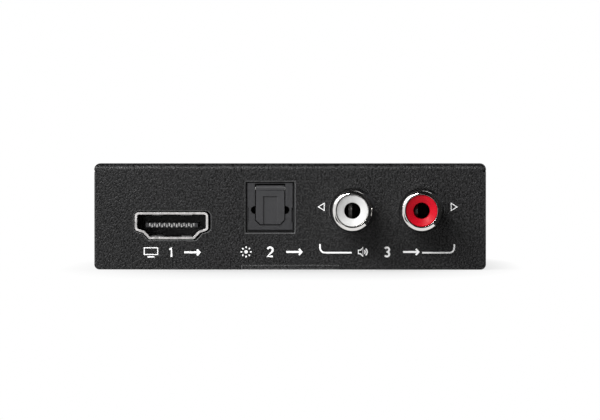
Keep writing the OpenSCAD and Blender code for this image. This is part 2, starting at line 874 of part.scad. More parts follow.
// One contact lies in the tongue's face, runs back through the block and stands on the board
module hdmi_contact(upper) {
    z0 = upper ? tongue_z + tongue_t / 2 - contact_t : tongue_z - tongue_t / 2;
    tail_y = hdmi_depth + hdmi_fit;
    across(-contact_w / 2, contact_w / 2)
        polygon([
            [tongue_back, z0], [tail_y, z0], [tail_y, 0],
            [tail_y + contact_t + contact_foot_l, 0], [tail_y + contact_t + contact_foot_l, contact_t],
            [tail_y + contact_t, contact_t], [tail_y + contact_t, z0 + contact_t],
            [tongue_back, z0 + contact_t]
        ]);
}
module hdmi_contacts() {
    color("#d9c27a")
        for (i = [0:contact_count - 1])
            translate([(i - (contact_count - 1) / 2) * hdmi_pitch, 0, 0]) hdmi_contact(i % 2 == 0);
}
module hdmi_insulator() {
    color("#1b1b1d")
        difference() {
            union() {
                through(hdmi_block_y, hdmi_depth) polygon(inset(hdmi_outline(), hdmi_shell_t + hdmi_fit));
                slab(
                    tongue_w, tongue_back, hdmi_block_y + cut,
                    tongue_z - tongue_t / 2, tongue_z + tongue_t / 2
                );
            }
            for (i = [0:contact_count - 1])
                translate([(i - (contact_count - 1) / 2) * hdmi_pitch, 0, 0])
                    slab(
                        contact_w, tongue_back - cut, hdmi_depth + cut,
                        i % 2 == 0 ? tongue_z + tongue_t / 2 - contact_t : tongue_z - tongue_t / 2,
                        i % 2 == 0 ? tongue_z + tongue_t / 2 : tongue_z - tongue_t / 2 + contact_t
                    );
        }
}
module hdmi_out_shell() {
    at_output(hdmi_out_x_share) hdmi_shell();
}
module hdmi_out_insulator() {
    at_output(hdmi_out_x_share) hdmi_insulator();
}
module hdmi_out_contacts() {
    at_output(hdmi_out_x_share) hdmi_contacts();
}
module hdmi_in_shell() {
    at_input(hdmi_in_x_share) hdmi_shell();
}
module hdmi_in_insulator() {
    at_input(hdmi_in_x_share) hdmi_insulator();
}
module hdmi_in_contacts() {
    at_input(hdmi_in_x_share) hdmi_contacts();
}

// Optical socket

function optical_lead_y() = emitter_y + emitter_t / 2;
// The shutter's outline, or the opening round it where gap is more than zero
function shutter_outline(gap, top) = [
    [-shutter_w / 2 + opening_chamfer - gap / 2, shutter_foot - gap],
    [shutter_w / 2 - opening_chamfer + gap / 2, shutter_foot - gap],
    [shutter_w / 2 + gap, shutter_foot + opening_chamfer - gap / 2],
    [shutter_w / 2 + gap, top],
    [-shutter_w / 2 - gap, top],
    [-shutter_w / 2 - gap, shutter_foot + opening_chamfer - gap / 2]
];
module optical_housing() {
    body_y = cover_t + behind_panel;
    color("#2a2a2c")
        at_output(optical_x_share)
            difference() {
                union() {
                    slab(optical_w, optical_recess, body_y + cut, optical_foot, optical_foot + optical_h);
                    slab(optical_body_w, body_y, optical_depth, 0, optical_body_h);
                    for (side = [-1, 1])
                        translate([side * peg_x, peg_y, -peg_l]) cylinder(h = peg_l + cut, r = peg_r);
                }
                for (side = [-1, 1])
                    slab(
                        2 * optical_notch, optical_recess - cut, body_y,
                        optical_notch_zs[0], optical_notch_zs[1], side * optical_w / 2
                    );
                through(optical_recess - cut, cavity_end) polygon(shutter_outline(opening_gap, cavity_top));
                for (side = [-1, 1])
                    rod_y(key_r, optical_recess - cut, key_depth, optical_axis_z, side * key_x);
                rod_y(guide_r, cavity_end - cut, emitter_y + cut, optical_axis_z);
                // Pocket for the emitter and its leads, open towards the board
                slab(
                    emitter_w + 2 * emitter_play,
                    emitter_y - emitter_play, emitter_y + emitter_t + emitter_play,
                    -cut, emitter_foot + emitter_h + emitter_play
                );
                // Seat of the hinge pin
                rod_x(
                    shutter_pin_r + shutter_play, -optical_body_w / 2 + pin_end_gap,
                    optical_body_w / 2 - pin_end_gap + spring_slot_w, shutter_axis_y, shutter_axis_z
                );
                // Pocket and slots of the torsion spring
                rod_x(
                    spring_pocket_r, shutter_w / 2, spring_end_x() + spring_end_gap,
                    shutter_axis_y, shutter_axis_z
                );
                translate([
                    shutter_w / 2, shutter_axis_y - spring_slot_w / 2, spring_toe_z - spring_slot_w / 2
                ])
                    cube([
                        spring_slot_w + spring_wire_r, spring_slot_d, shutter_axis_z - spring_toe_z
                    ]);
                translate([
                    spring_end_x() - spring_slot_w / 2, shutter_axis_y,
                    shutter_axis_z - spring_coil_r - spring_slot_w / 2
                ])
                    cube([spring_slot_w, spring_leg_l + spring_slot_w, spring_slot_w]);
            }
}
module optical_shutter() {
    color("#303032")
        at_output(optical_x_share)
            difference() {
                union() {
                    through(shutter_y, shutter_y + shutter_t) polygon(shutter_outline(0, shutter_axis_z));
                    rod_x(shutter_barrel_r, -shutter_w / 2, shutter_w / 2, shutter_axis_y, shutter_axis_z);
                }
                slab(
                    shutter_dent_w, shutter_y - cut, shutter_y + shutter_dent_d,
                    shutter_foot - cut, shutter_foot + shutter_dent_h
                );
                rod_x(
                    shutter_pin_r + shutter_play, -shutter_w, shutter_w, shutter_axis_y, shutter_axis_z
                );
                slab(
                    2 * shutter_w, shutter_y - shutter_fold, shutter_y + shutter_fold,
                    shutter_axis_z - shutter_barrel_r / 2 - shutter_fold,
                    shutter_axis_z - shutter_barrel_r / 2
                );
            }
}
module shutter_pin() {
    color("#b8b8b4")
        at_output(optical_x_share)
            rod_x(
                shutter_pin_r, -optical_body_w / 2 + pin_end_gap + shutter_play,
                optical_body_w / 2 - pin_end_gap + shutter_play, shutter_axis_y, shutter_axis_z
            );
}
function spring_end_x() = spring_x + spring_turns * spring_pitch;
function spring_coil() = [
    for (i = [0:spring_rings])
        let(a = 360 * spring_turns * i / spring_rings)
        [
            spring_x + spring_pitch * spring_turns * i / spring_rings,
            shutter_axis_y + spring_coil_r * cos(a), shutter_axis_z + spring_coil_r * sin(a)
        ]
];
module shutter_spring() {
    door_y = shutter_y + shutter_t + spring_wire_r + spring_toe_gap;
    toe = [
        [spring_toe_x, door_y, spring_toe_z],
        [spring_x - spring_wire_r, door_y, spring_toe_z + spring_wire_r],
        [spring_x, door_y + spring_wire_r, spring_knee_z]
    ];
    heel = [[spring_end_x(), shutter_axis_y + spring_leg_l, shutter_axis_z - spring_coil_r]];
    color("#c4c4c0")
        at_output(optical_x_share)
            wire(concat(toe, spring_coil(), heel), spring_wire_r, spring_sides);
}
module optical_emitter() {
    color("#4a3a3a")
        at_output(optical_x_share) {
            slab(
                emitter_w, emitter_y, emitter_y + emitter_t,
                emitter_foot, emitter_foot + emitter_h
            );
            translate([0, emitter_y, optical_axis_z]) sphere(lens_r);
        }
}
module optical_leads() {
    color("#c9c9c4")
        at_output(optical_x_share)
            for (i = [-1, 0, 1])
                slab(
                    optical_lead_w,
                    optical_lead_y() - optical_lead_t / 2, optical_lead_y() + optical_lead_t / 2,
                    -leg_drop, emitter_foot, i * optical_lead_pitch
                );
}

// Phono sockets

module at_phono(side) {
    at_output(phono_x_share) translate([side * phono_pitch / 2, 0, 0]) children();
}
module phono_body() {
    body_y = cover_t + behind_panel;
    color("#232325")
        at_output(phono_x_share)
            difference() {
                slab(
                    phono_pitch + 2 * (barrel_seat_r + phono_play + phono_wall),
                    body_y, phono_body_y, 0, phono_body_h
                );
                for (side = [-1, 1])
                    translate([side * phono_pitch / 2, 0, 0]) {
                        rod_y(barrel_seat_r + phono_play, body_y - cut, phono_seat_y + phono_play, phono_z);
                        slab(
                            strap_w + 2 * hole_play, phono_seat_y - cut, phono_body_y + cut,
                            phono_z - strap_t / 2 - hole_play, phono_z + strap_t / 2 + hole_play
                        );
                        slab(
                            barrel_leg_w + 2 * hole_play,
                            barrel_leg_y - hole_play, barrel_leg_y + barrel_leg_t + hole_play,
                            -cut, phono_z - barrel_in_r
                        );
                    }
            }
}
module phono_barrel(side) {
    color("#d4d2ce")
        at_phono(side) {
            turned([
                [barrel_in_r + rim_in, -barrel_proud], [barrel_r - rim_out, -barrel_proud],
                [barrel_r, rim_out - barrel_proud], [barrel_r, 0], [barrel_seat_r, 0],
                [barrel_seat_r, phono_seat_y], [barrel_in_r, phono_seat_y],
                [barrel_in_r, rim_in - barrel_proud]
            ], phono_z);
            slab(
                barrel_leg_w, barrel_leg_y, barrel_leg_y + barrel_leg_t,
                -leg_drop, phono_z - barrel_seat_r + barrel_leg_sink
            );
        }
}
module phono_insulator(side, tint) {
    face_y = dish_recess - barrel_proud;
    out_r = barrel_in_r - phono_play;
    color(tint)
        at_phono(side)
            turned([
                [dish_r, face_y], [out_r, face_y], [out_r, phono_seat_y], [chamber_r, phono_seat_y],
                [chamber_r, face_y + dish_depth + pin_hole_l], [pin_hole_r, face_y + dish_depth + pin_hole_l],
                [pin_hole_r, face_y + dish_depth]
            ], phono_z);
}
module phono_contact(side) {
    front_y = dish_recess - barrel_proud + dish_depth + pin_hole_l + phono_play;
    back_y = phono_seat_y - phono_play;
    leg_y = phono_body_y + strap_gap;
    color("#cfcac0")
        at_phono(side)
            difference() {
                union() {
                    turned([
                        [contact_in_r, front_y], [contact_out_r, front_y], [contact_out_r, back_y],
                        [0, back_y], [0, back_y - contact_disc_t], [contact_in_r, back_y - contact_disc_t]
                    ], phono_z);
                    slab(
                        strap_w, back_y - contact_disc_t / 2, leg_y + strap_t,
                        phono_z - strap_t / 2, phono_z + strap_t / 2
                    );
                    slab(strap_w, leg_y, leg_y + strap_t, -leg_drop, phono_z + strap_t / 2);
                }
                slab(
                    contact_slot_w, front_y - cut, front_y + contact_slot_l,
                    phono_z - 2 * contact_out_r, phono_z + 2 * contact_out_r
                );
            }
}
module phono_barrel_left() {
    phono_barrel(-1);
}
module phono_barrel_right() {
    phono_barrel(1);
}
module phono_insulator_left() {
    phono_insulator(-1, "#f0efec");
}
module phono_insulator_right() {
    phono_insulator(1, "#d01828");
}
module phono_contact_left() {
    phono_contact(-1);
}
module phono_contact_right() {
    phono_contact(1);
}

// Power inlet

module power_housing() {
    body_y = cover_t + behind_panel;
    slot_w = leaf_w + 2 * leaf_play;
    color("#1d1d1f")
        at_input(power_x_share)
            difference() {
                slab(power_w, body_y, power_depth, 0, power_z + power_bore_r + power_roof);
                rod_y(power_bore_r, body_y - cut, power_bore_y, power_z);
                rod_y(power_pin_r + leaf_play / 2, power_bore_y - cut, power_depth + cut, power_z);
                // Channel of the leaf under the bore and its way down to the board
                slab(
                    slot_w, leaf_front_y - leaf_play, leaf_back_y + leaf_t + leaf_play,
                    leaf_z - leaf_play, power_z - power_bore_r / 2
                );
                slab(
                    slot_w, leaf_back_y - leaf_play, leaf_back_y + leaf_t + leaf_play,
                    -cut, leaf_z + leaf_play
                );
                slab(
                    break_t + break_inset + leaf_play + cut,
                    break_y - leaf_play, break_y + break_w + leaf_play,
                    -cut, break_h + leaf_play,
                    power_w / 2 + (cut - break_t - break_inset - leaf_play) / 2
                );
            }
}
module power_centre_pin() {
    color("#c8c6c0")
        at_input(power_x_share) {
            turned([
                [0, power_pin_y], [power_pin_r - power_pin_tip, power_pin_y],
                [power_pin_r, power_pin_y + power_pin_tip],
                [power_pin_r, power_depth + power_lug_gap + power_lug_t + power_rivet],
                [0, power_depth + power_lug_gap + power_lug_t + power_rivet]
            ], power_z);
            slab(
                power_lug_w, power_depth + power_lug_gap, power_depth + power_lug_gap + power_lug_t,
                -leg_drop, power_z + power_lug_w / 2
            );
        }
}
module power_spring_contact() {
    crest_y = leaf_front_y + 2 * leaf_rise;
    color("#c8c6c0")
        at_input(power_x_share)
            across(-leaf_w / 2, leaf_w / 2)
                polygon([
                    [leaf_back_y, -leg_drop], [leaf_back_y + leaf_t, -leg_drop],
                    [leaf_back_y + leaf_t, leaf_z + leaf_t], [leaf_back_y, leaf_z + leaf_t],
                    [crest_y, leaf_z + leaf_rise], [leaf_front_y, leaf_z + 2 * leaf_t],
                    [leaf_front_y, leaf_z + leaf_t], [crest_y, leaf_z + leaf_rise - leaf_t],
                    [leaf_back_y, leaf_z]
                ]);
}
module power_break_contact() {
    color("#c8c6c0")
        at_input(power_x_share)
            slab(
                break_t, break_y, break_y + break_w, -leg_drop, break_h,
                power_w / 2 - break_inset - break_t / 2
            );
}

// Mode switch

function switch_y() = cover_t + switch_front;
function switch_pad_y() = switch_y() + switch_d - base_t - pad_t;
function pad_x(i) = (i - (pad_count - 1) / 2) * pad_pitch;
module switch_frame() {
    y0 = switch_y();
    color("#bdbdb8")
        at_input(switch_x_share) {
            difference() {
                slab(switch_w, y0, y0 + switch_d, 0, switch_h);
                slab(switch_w - 2 * switch_t, y0 + switch_t, y0 + switch_d + cut, -cut, switch_h - switch_t);
                slab(
                    knob_w + 2 * knob_travel + 2 * window_play, y0 - cut, y0 + switch_t + cut,
                    knob_z - knob_h / 2 - window_play, knob_z + knob_h / 2 + window_play
                );
            }
            for (side = [-1, 1])
                slab(
                    switch_t, y0 + (switch_d - switch_leg_w) / 2, y0 + (switch_d + switch_leg_w) / 2,
                    -leg_drop, switch_h / 2, side * (switch_w - switch_t) / 2
                );
        }
}
module switch_base() {
    y1 = switch_y() + switch_d;
    color("#6b4a2a") at_input(switch_x_share) slab(base_w, y1 - base_t, y1, 0, base_h);
}
module switch_terminals() {
    y0 = switch_pad_y();
    color("#d0cdc2")
        at_input(switch_x_share)
            for (i = [0:pad_count - 1]) {
                slab(pad_w, y0, y0 + pad_t, pad_z, pad_z + pad_h, pad_x(i));
                slab(tail_w, y0, y0 + pad_t, -leg_drop, pad_z + pad_t, pad_x(i));
            }
}
module switch_knob() {
    y0 = switch_y() + switch_t + slider_gap;
    color("#18181a")
        at_input(switch_x_share) {
            slab(slider_w, y0, y0 + slider_d, knob_z - slider_h / 2, knob_z + slider_h / 2);
            slab(knob_w, -knob_proud, y0 + slider_d / 2, knob_z - knob_h / 2, knob_z + knob_h / 2);
        }
}
// A springy strip with two humps that bridge neighbouring terminals
module switch_wiper() {
    y0 = switch_y() + switch_t + slider_gap + slider_d;
    y1 = switch_pad_y() - wiper_gap;
    hump = pad_pitch / 2;
    half = concat(
        [[0, y0], [0, y0 + wiper_t], [hump / 2, y0 + wiper_t], [hump, y1], [3 * hump / 2, y1 - wiper_t]],
        [[wiper_w / 2, y0 + wiper_t], [wiper_w / 2, y0]]
    );
    color("#d8b860")
        at_input(switch_x_share)
            translate([0, 0, knob_z - wiper_h / 2])
                linear_extrude(wiper_h) {
                    polygon(half);
                    mirror([1, 0]) polygon(half);
                }
}

// Power light

function light_lead_y() = light_body_l + light_flange_t + light_lead_l;
module light_lamp() {
    dome_y = light_r - light_dome_proud;
    color("#b8d8f0")
        at_input(light_x_share) {
            rod_y(light_r, dome_y, light_body_l + cut, light_z);
            translate([0, dome_y, light_z]) sphere(light_r);
            rod_y(light_r + light_flange_w, light_body_l, light_body_l + light_flange_t, light_z);
        }
}
module light_holder() {
    y0 = cover_t + holder_front;
    w = 2 * (light_r + holder_wall);
    color("#161618")
        at_input(light_x_share)
            difference() {
                slab(w, y0, light_body_l - light_play, 0, light_z + w / 2);
                rod_y(light_r + light_play, y0 - cut, light_body_l + cut, light_z);
            }
}
module light_leads() {
    y0 = light_body_l + light_flange_t;
    y1 = light_lead_y();
    color("#cfcfca")
        at_input(light_x_share)
            for (side = [-1, 1]) {
                slab(
                    light_lead_w, y0, y1 + light_lead_w,
                    light_z - light_lead_w / 2, light_z + light_lead_w / 2, side * light_lead_gap
                );
                slab(
                    light_lead_w, y1, y1 + light_lead_w,
                    -leg_drop, light_z + light_lead_w / 2, side * light_lead_gap
                );
            }
}

// Electronics

// A moulded package with a dot beside its first lead
module chip(size) {
    difference() {
        slab(size[0], -size[1] / 2, size[1] / 2, chip_lift, size[2]);
        translate([2 * dot_r - size[0] / 2, 2 * dot_r - size[1] / 2, size[2] - dot_d])
            cylinder(h = dot_d + cut, r = dot_r);
    }
}
// A row of bent leads that leave a wall at depth y0 towards +Y
module lead_row(count, pitch, y0, drop, w, reach, foot) {
    knee = reach - foot;
    for (i = [0:count - 1])
        translate([(i - (count - 1) / 2) * pitch, y0, 0])
            across(-w / 2, w / 2)
                polygon([
                    [0, drop], [knee - lead_t, drop], [knee, 0], [reach, 0], [reach, lead_t],
                    [knee + lead_t, lead_t], [knee, drop + lead_t], [0, drop + lead_t]
                ]);
}
module two_sided_leads(size, count, pitch) {
    for (turn = [0, 180])
        rotate(turn)
            lead_row(count, pitch, size[1] / 2, size[2] / 2, small_lead_w, small_reach, small_foot);
}
module processor_chip() {
    color("#1c1c1e") on_board(processor_share) chip([processor_w, processor_w, processor_h]);
}
module processor_leads() {
    color("#c6c8ca")
        on_board(processor_share)
            for (turn = [0:90:270])
                rotate(turn)
                    lead_row(
                        qfp_count, qfp_pitch, processor_w / 2, processor_h / 2,
                        qfp_lead_w, qfp_reach, qfp_foot
                    );
}
module thermal_pad() {
    w = min(processor_w, heatsink_w);
    color("#8fa7c4")
        on_board(processor_share) slab(w, -w / 2, w / 2, processor_h, processor_h + thermal_pad_t);
}
module heatsink() {
    z0 = processor_h + thermal_pad_t;
    step = (heatsink_w - fin_t) / (fin_count - 1);
    color("#3c3e42")
        on_board(processor_share) {
            slab(heatsink_w, -heatsink_w / 2, heatsink_w / 2, z0, z0 + heatsink_base_t);
            for (i = [0:fin_count - 1])
                slab(
                    fin_t, -heatsink_w / 2, heatsink_w / 2,
                    z0, z0 + heatsink_h, i * step - (heatsink_w - fin_t) / 2
                );
        }
}
module audio_converter_chip() {
    color("#1c1c1e") on_board(converter_share) chip(converter_size);
}
module controller_chip() {
    color("#1c1c1e") on_board(controller_share) chip(controller_size);
}
module memory_chip() {
    color("#1c1c1e") on_board(memory_share) chip(memory_size);
}
module receiver_chip() {
    // This package has no bent leads and stands on the board
    color("#1c1c1e")
        on_board(receiver_share) {
            chip(receiver_size);
            slab(
                receiver_size[0] - dot_r, (dot_r - receiver_size[1]) / 2, (receiver_size[1] - dot_r) / 2,
                0, chip_lift + dot_d
            );
        }
}
module small_chip_leads() {
    color("#c6c8ca") {
        on_board(converter_share) two_sided_leads(converter_size, converter_leads, converter_pitch);
        on_board(memory_share) two_sided_leads(memory_size, memory_leads, memory_pitch);
        on_board(controller_share)
            for (turn = [0, 90])
                rotate(turn) two_sided_leads(controller_size, controller_leads, controller_pitch);
        on_board(regulator_share) {
            rotate(180)
                lead_row(
                    regulator_leads, regulator_pitch, regulator_size[1] / 2, regulator_size[2] / 2,
                    regulator_lead_w, 2 * small_reach, small_reach
                );
            lead_row(
                1, regulator_pitch, regulator_size[1] / 2, regulator_size[2] / 2,
                regulator_tab_w, 2 * small_reach, small_reach
            );
        }
    }
}
module crystal() {
    module stadium(grow) {
        r = crystal_size[1] / 2 + grow;
        reach = (crystal_size[0] - crystal_size[1]) / 2;
        square([2 * reach, 2 * r], center = true);
        for (side = [-1, 1]) translate([side * reach, 0]) circle(r);
    }
    color("#c9cbcc")
        on_board(crystal_share) {
            linear_extrude(crystal_flange_h) stadium(crystal_flange);
            linear_extrude(crystal_size[2]) stadium(0);
        }
}
module regulator() {
    color("#1c1c1e") on_board(regulator_share) chip(regulator_size);
}
module power_inductor() {
    w = inductor_size[0] / 2;
    c = w - inductor_chamfer;
    color("#4b4b4e")
        on_board(inductor_share)
            difference() {
                linear_extrude(inductor_size[2])
                    polygon([[w, -c], [w, c], [c, w], [-c, w], [-w, c], [-w, -c], [-c, -w], [c, -w]]);
                translate([0, 0, inductor_size[2] - inductor_core_d])
                    difference() {
                        cylinder(h = inductor_core_d + cut, r = inductor_core_r + inductor_core_d);
                        translate([0, 0, -cut]) cylinder(h = inductor_core_d + 3 * cut, r = inductor_core_r);
                    }
            }
}
module at_cans() {
    for (share = audio_can_shares) on_board(share) {
        $can_r = audio_can_r;
        children();
    }
    for (share = power_can_shares) on_board(share) {
        $can_r = power_can_r;
        children();
    }
}
module capacitor_cans() {
    color("#c3c5c8")
        at_cans()
            difference() {
                translate([0, 0, can_base_t]) cylinder(h = can_h - can_base_t, r = $can_r);
                for (turn = [0:60:120])
                    translate([0, 0, can_h])
                        rotate(turn)
                            cube([can_groove_share * $can_r, can_groove_w, 2 * can_groove_d], center = true);
            }
}
module capacitor_bases() {
    color("#19191b")
        at_cans() {
            w = $can_r + can_base_gap;
            c = w - can_base_chamfer;
            linear_extrude(can_base_t) polygon([[w, -c], [w, c], [c, w], [-w, w], [-w, -w], [c, -w]]);
        }
}
module along_rows(rows) {
    for (row = rows, i = [0:row[2] - 1])
        on_board(row[0])
            translate([i * row[1][0] * row_pitch_x, i * row[1][1] * row_pitch_y, 0]) children();
}
module small_body(size) {
    slab(size[0] - 2 * end_cap_l, -size[1] / 2, size[1] / 2, 0, size[2]);
}
module small_caps(size) {
    for (side = [-1, 1])
        slab(end_cap_l, -size[1] / 2, size[1] / 2, 0, size[2], side * (size[0] - end_cap_l) / 2);
}
module ceramic_capacitors() {
    color("#a98c66") along_rows(capacitor_row_shares) small_body(capacitor_size);
}
module chip_resistors() {
    color("#222224") along_rows(resistor_row_shares) small_body(resistor_size);
}
module end_caps() {
    color("#cfd0d0") {
        along_rows(capacitor_row_shares) small_caps(capacitor_size);
        along_rows(resistor_row_shares) small_caps(resistor_size);
    }
}

top_cover();
bottom_plate();
side_screws();
board_standoffs();
board_screws();
circuit_board();
hdmi_out_shell();
hdmi_out_insulator();
hdmi_out_contacts();
hdmi_in_shell();
hdmi_in_insulator();
hdmi_in_contacts();
optical_housing();
optical_shutter();
shutter_pin();
shutter_spring();
optical_emitter();
optical_leads();
phono_body();
phono_barrel_left();
phono_barrel_right();
phono_insulator_left();
phono_insulator_right();
phono_contact_left();
phono_contact_right();
power_housing();
power_centre_pin();
power_spring_contact();
power_break_contact();
switch_frame();
switch_base();
switch_terminals();
switch_knob();
switch_wiper();
light_lamp();
light_holder();
light_leads();
processor_chip();
processor_leads();
thermal_pad();
heatsink();
audio_converter_chip();
controller_chip();
memory_chip();
receiver_chip();
small_chip_leads();
crystal();
regulator();
power_inductor();
capacitor_cans();
capacitor_bases();
ceramic_capacitors();
chip_resistors();
end_caps();
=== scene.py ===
"""Looks of the audio extractor: finishes, finely edged pieces, printed marks, studio and camera.

Everything is in metres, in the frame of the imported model: x runs along the panels, the output
panel faces -y, and z = 0 is the underside.
"""

import json
import math

import bmesh
import bpy
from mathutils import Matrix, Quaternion, Vector


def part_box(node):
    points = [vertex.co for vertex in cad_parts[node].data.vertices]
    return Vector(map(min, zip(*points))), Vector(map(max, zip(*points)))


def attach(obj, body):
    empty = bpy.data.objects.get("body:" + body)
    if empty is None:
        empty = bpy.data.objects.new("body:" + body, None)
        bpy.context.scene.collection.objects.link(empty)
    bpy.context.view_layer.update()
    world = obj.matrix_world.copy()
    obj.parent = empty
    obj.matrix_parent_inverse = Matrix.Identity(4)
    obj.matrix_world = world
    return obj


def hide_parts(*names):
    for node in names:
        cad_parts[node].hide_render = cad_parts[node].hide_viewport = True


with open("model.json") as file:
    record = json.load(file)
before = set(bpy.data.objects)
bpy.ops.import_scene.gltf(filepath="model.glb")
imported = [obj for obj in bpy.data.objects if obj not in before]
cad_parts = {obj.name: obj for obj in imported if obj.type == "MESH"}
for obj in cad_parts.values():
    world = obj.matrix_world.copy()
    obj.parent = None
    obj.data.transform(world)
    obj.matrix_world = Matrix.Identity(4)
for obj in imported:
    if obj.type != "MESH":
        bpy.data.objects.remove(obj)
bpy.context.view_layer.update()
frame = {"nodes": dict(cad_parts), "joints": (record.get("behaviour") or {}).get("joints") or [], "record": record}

mm = 0.001
WELD = 0.0005 * mm
NODES = frame["nodes"]
SLOT_OF = {part["node"]: part["material_slot"] for part in frame["record"]["subparts"]}
BODY_OF = {
    node: body
    for body, members in frame["record"]["behaviour"]["bodies"].items()
    for node in members
}

# Node graphs


class Graph:
    """The nodes of a material or a world, with short calls for the ones used here."""

    def __init__(self, owner):
        owner.use_nodes = True
        self.owner = owner
        self.nodes = owner.node_tree.nodes
        self.links = owner.node_tree.links

    def node(self, kind, inputs=None, **settings):
        made = self.nodes.new(kind)
        for key, value in settings.items():
            setattr(made, key, value)
        for key, value in (inputs or {}).items():
            if isinstance(value, bpy.types.NodeSocket):
                self.links.new(value, made.inputs[key])
            else:
                made.inputs[key].default_value = value
        return made

    def maths(self, operation, first, second):
        return self.node("ShaderNodeMath", {0: first, 1: second}, operation=operation).outputs[0]

    def ramp(self, value, low, high, start=0.3, end=0.7):
        """value from start to end becomes a number from low to high."""
        return self.node(
            "ShaderNodeMapRange",
            {"Value": value, "From Min": start, "From Max": end, "To Min": low, "To Max": high},
        ).outputs["Result"]

    def seen_ray(self):
        """1 on camera, glossy and transmission rays."""
        path = self.node("ShaderNodeLightPath").outputs
        seen = self.maths("MAXIMUM", path["Is Camera Ray"], path["Is Glossy Ray"])
        return self.maths("MAXIMUM", seen, path["Is Transmission Ray"])


class Finish(Graph):
    """A new material, whose nodes feed its Principled shader."""

    def __init__(self, name):
        super().__init__(bpy.data.materials.new(name))
        self.shader = self.nodes["Principled BSDF"]
        self.place = self.node("ShaderNodeTexCoord").outputs["Object"]

    def stretched(self, factors):
        """The place in the object, stretched along its axes, for brushed and streaked grain."""
        return self.node(
            "ShaderNodeMapping", {"Vector": self.place, "Scale": factors}
        ).outputs["Vector"]

    def noise(self, scale, detail=3.0, place=None):
        return self.node(
            "ShaderNodeTexNoise",
            {"Vector": place or self.place, "Scale": scale, "Detail": detail},
        ).outputs["Fac"]

    def mixed(self, factor, first, second):
        """A colour between first and second."""
        made = self.node("ShaderNodeMix", data_type="RGBA")
        sockets = {s.identifier: s for s in made.inputs}
        self.links.new(factor, sockets["Factor_Float"])
        for key, value in (("A_Color", first), ("B_Color", second)):
            if isinstance(value, bpy.types.NodeSocket):
                self.links.new(value, sockets[key])
            else:
                sockets[key].default_value = (*value, 1.0)
        return next(s for s in made.outputs if s.identifier == "Result_Color")

    def bump(self, height, strength, depth):
        """Relief of the given depth in metres."""
        relief = self.node(
            "ShaderNodeBump", {"Height": height, "Strength": strength, "Distance": depth}
        )
        self.links.new(relief.outputs["Normal"], self.shader.inputs["Normal"])

    def set(self, **values):
        """Puts numbers or links on the shader: underscores stand for spaces in a socket's name."""
        for key, value in values.items():
            socket = self.shader.inputs[key.replace("_", " ")]
            if isinstance(value, bpy.types.NodeSocket):
                self.links.new(value, socket)
            else:
                socket.default_value = value


# Finishes


def shaded(colour, factor):
    return tuple(min(channel * factor, 1.0) for channel in colour)


def worn_edges(graph):
    """1 on sharp outer edges, where paint thins, and 0 on the flats, broken up by noise."""
    rounded = graph.node("ShaderNodeBevel", {"Radius": 0.22 * mm}, samples=4).outputs["Normal"]
    flat = graph.node("ShaderNodeNewGeometry").outputs["Normal"]
    alike = graph.node("ShaderNodeVectorMath", {0: rounded, 1: flat}, operation="DOT_PRODUCT")
    edge = graph.ramp(alike.outputs["Value"], low=1.0, high=0.0, start=0.75, end=0.99)
    patches = graph.ramp(graph.noise(scale=900.0), low=0.2, high=1.0)
    return graph.maths("MULTIPLY", edge, patches)


def powder_coat(name, colour, worn, speckles=(0.1, 2.1)):
    """Matt black coat with a fine even texture, a little paler where edges rub."""
    graph = Finish(name)
    texture = graph.noise(scale=2700.0)
    speckle = graph.ramp(texture, low=0.0, high=1.0, start=0.4, end=0.6)
    cloud = graph.ramp(graph.noise(scale=60.0, detail=2.0), low=0.0, high=0.25)
    cloud_tone = 1.35
    tone = graph.mixed(speckle, *(shaded(colour, factor) for factor in speckles))
    tone = graph.mixed(cloud, tone, shaded(colour, cloud_tone))
    tone = graph.mixed(worn_edges(graph), tone, worn)
    rough = graph.ramp(texture, low=0.28, high=0.38)
    graph.set(Base_Color=tone, Roughness=rough, Specular_IOR_Level=0.3)
    graph.bump(texture, strength=1.0, depth=0.12 * mm)
    return graph.owner


def metal(name, colour, rough, grain=(1.0, 1.0, 1.0), grain_scale=900.0, relief=0.004):
    """Plated, rolled or drawn metal: grain draws fine lines along the axes with low factors."""
    graph = Finish(name)
    lines = graph.noise(grain_scale, place=graph.stretched(grain))
    tarnish = graph.ramp(graph.noise(scale=240.0), low=0.0, high=1.0)
    tarnish_tone = 0.82
    least_rough, most_rough = 0.75, 1.3
    tone = graph.mixed(tarnish, colour, shaded(colour, tarnish_tone))
    roughness = graph.ramp(lines, rough * least_rough, rough * most_rough)
    graph.set(Base_Color=tone, Metallic=1.0, Roughness=roughness)
    graph.bump(lines, strength=0.4, depth=relief * mm)
    return graph.owner


def plastic(name, colour, rough, coat=0.0, relief=0.012, specular=0.5):
    """Moulded plastic: a spark-eroded grain over a faint flow pattern, with or without a coat."""
    graph = Finish(name)
    grain = graph.noise(scale=2200.0, detail=2.0)
    flow = graph.ramp(graph.noise(scale=140.0, detail=2.0), low=0.0, high=1.0)
    dark_flow, pale_flow = 0.9, 1.08
    least_rough, most_rough = 0.85, 1.2
    graph.set(
        Base_Color=graph.mixed(flow, shaded(colour, dark_flow), shaded(colour, pale_flow)),
        Roughness=graph.ramp(grain, rough * least_rough, rough * most_rough),
        Specular_IOR_Level=specular, Coat_Weight=coat, Coat_Roughness=0.06,
    )
    graph.bump(grain, strength=0.4, depth=relief * mm)
    return graph.owner


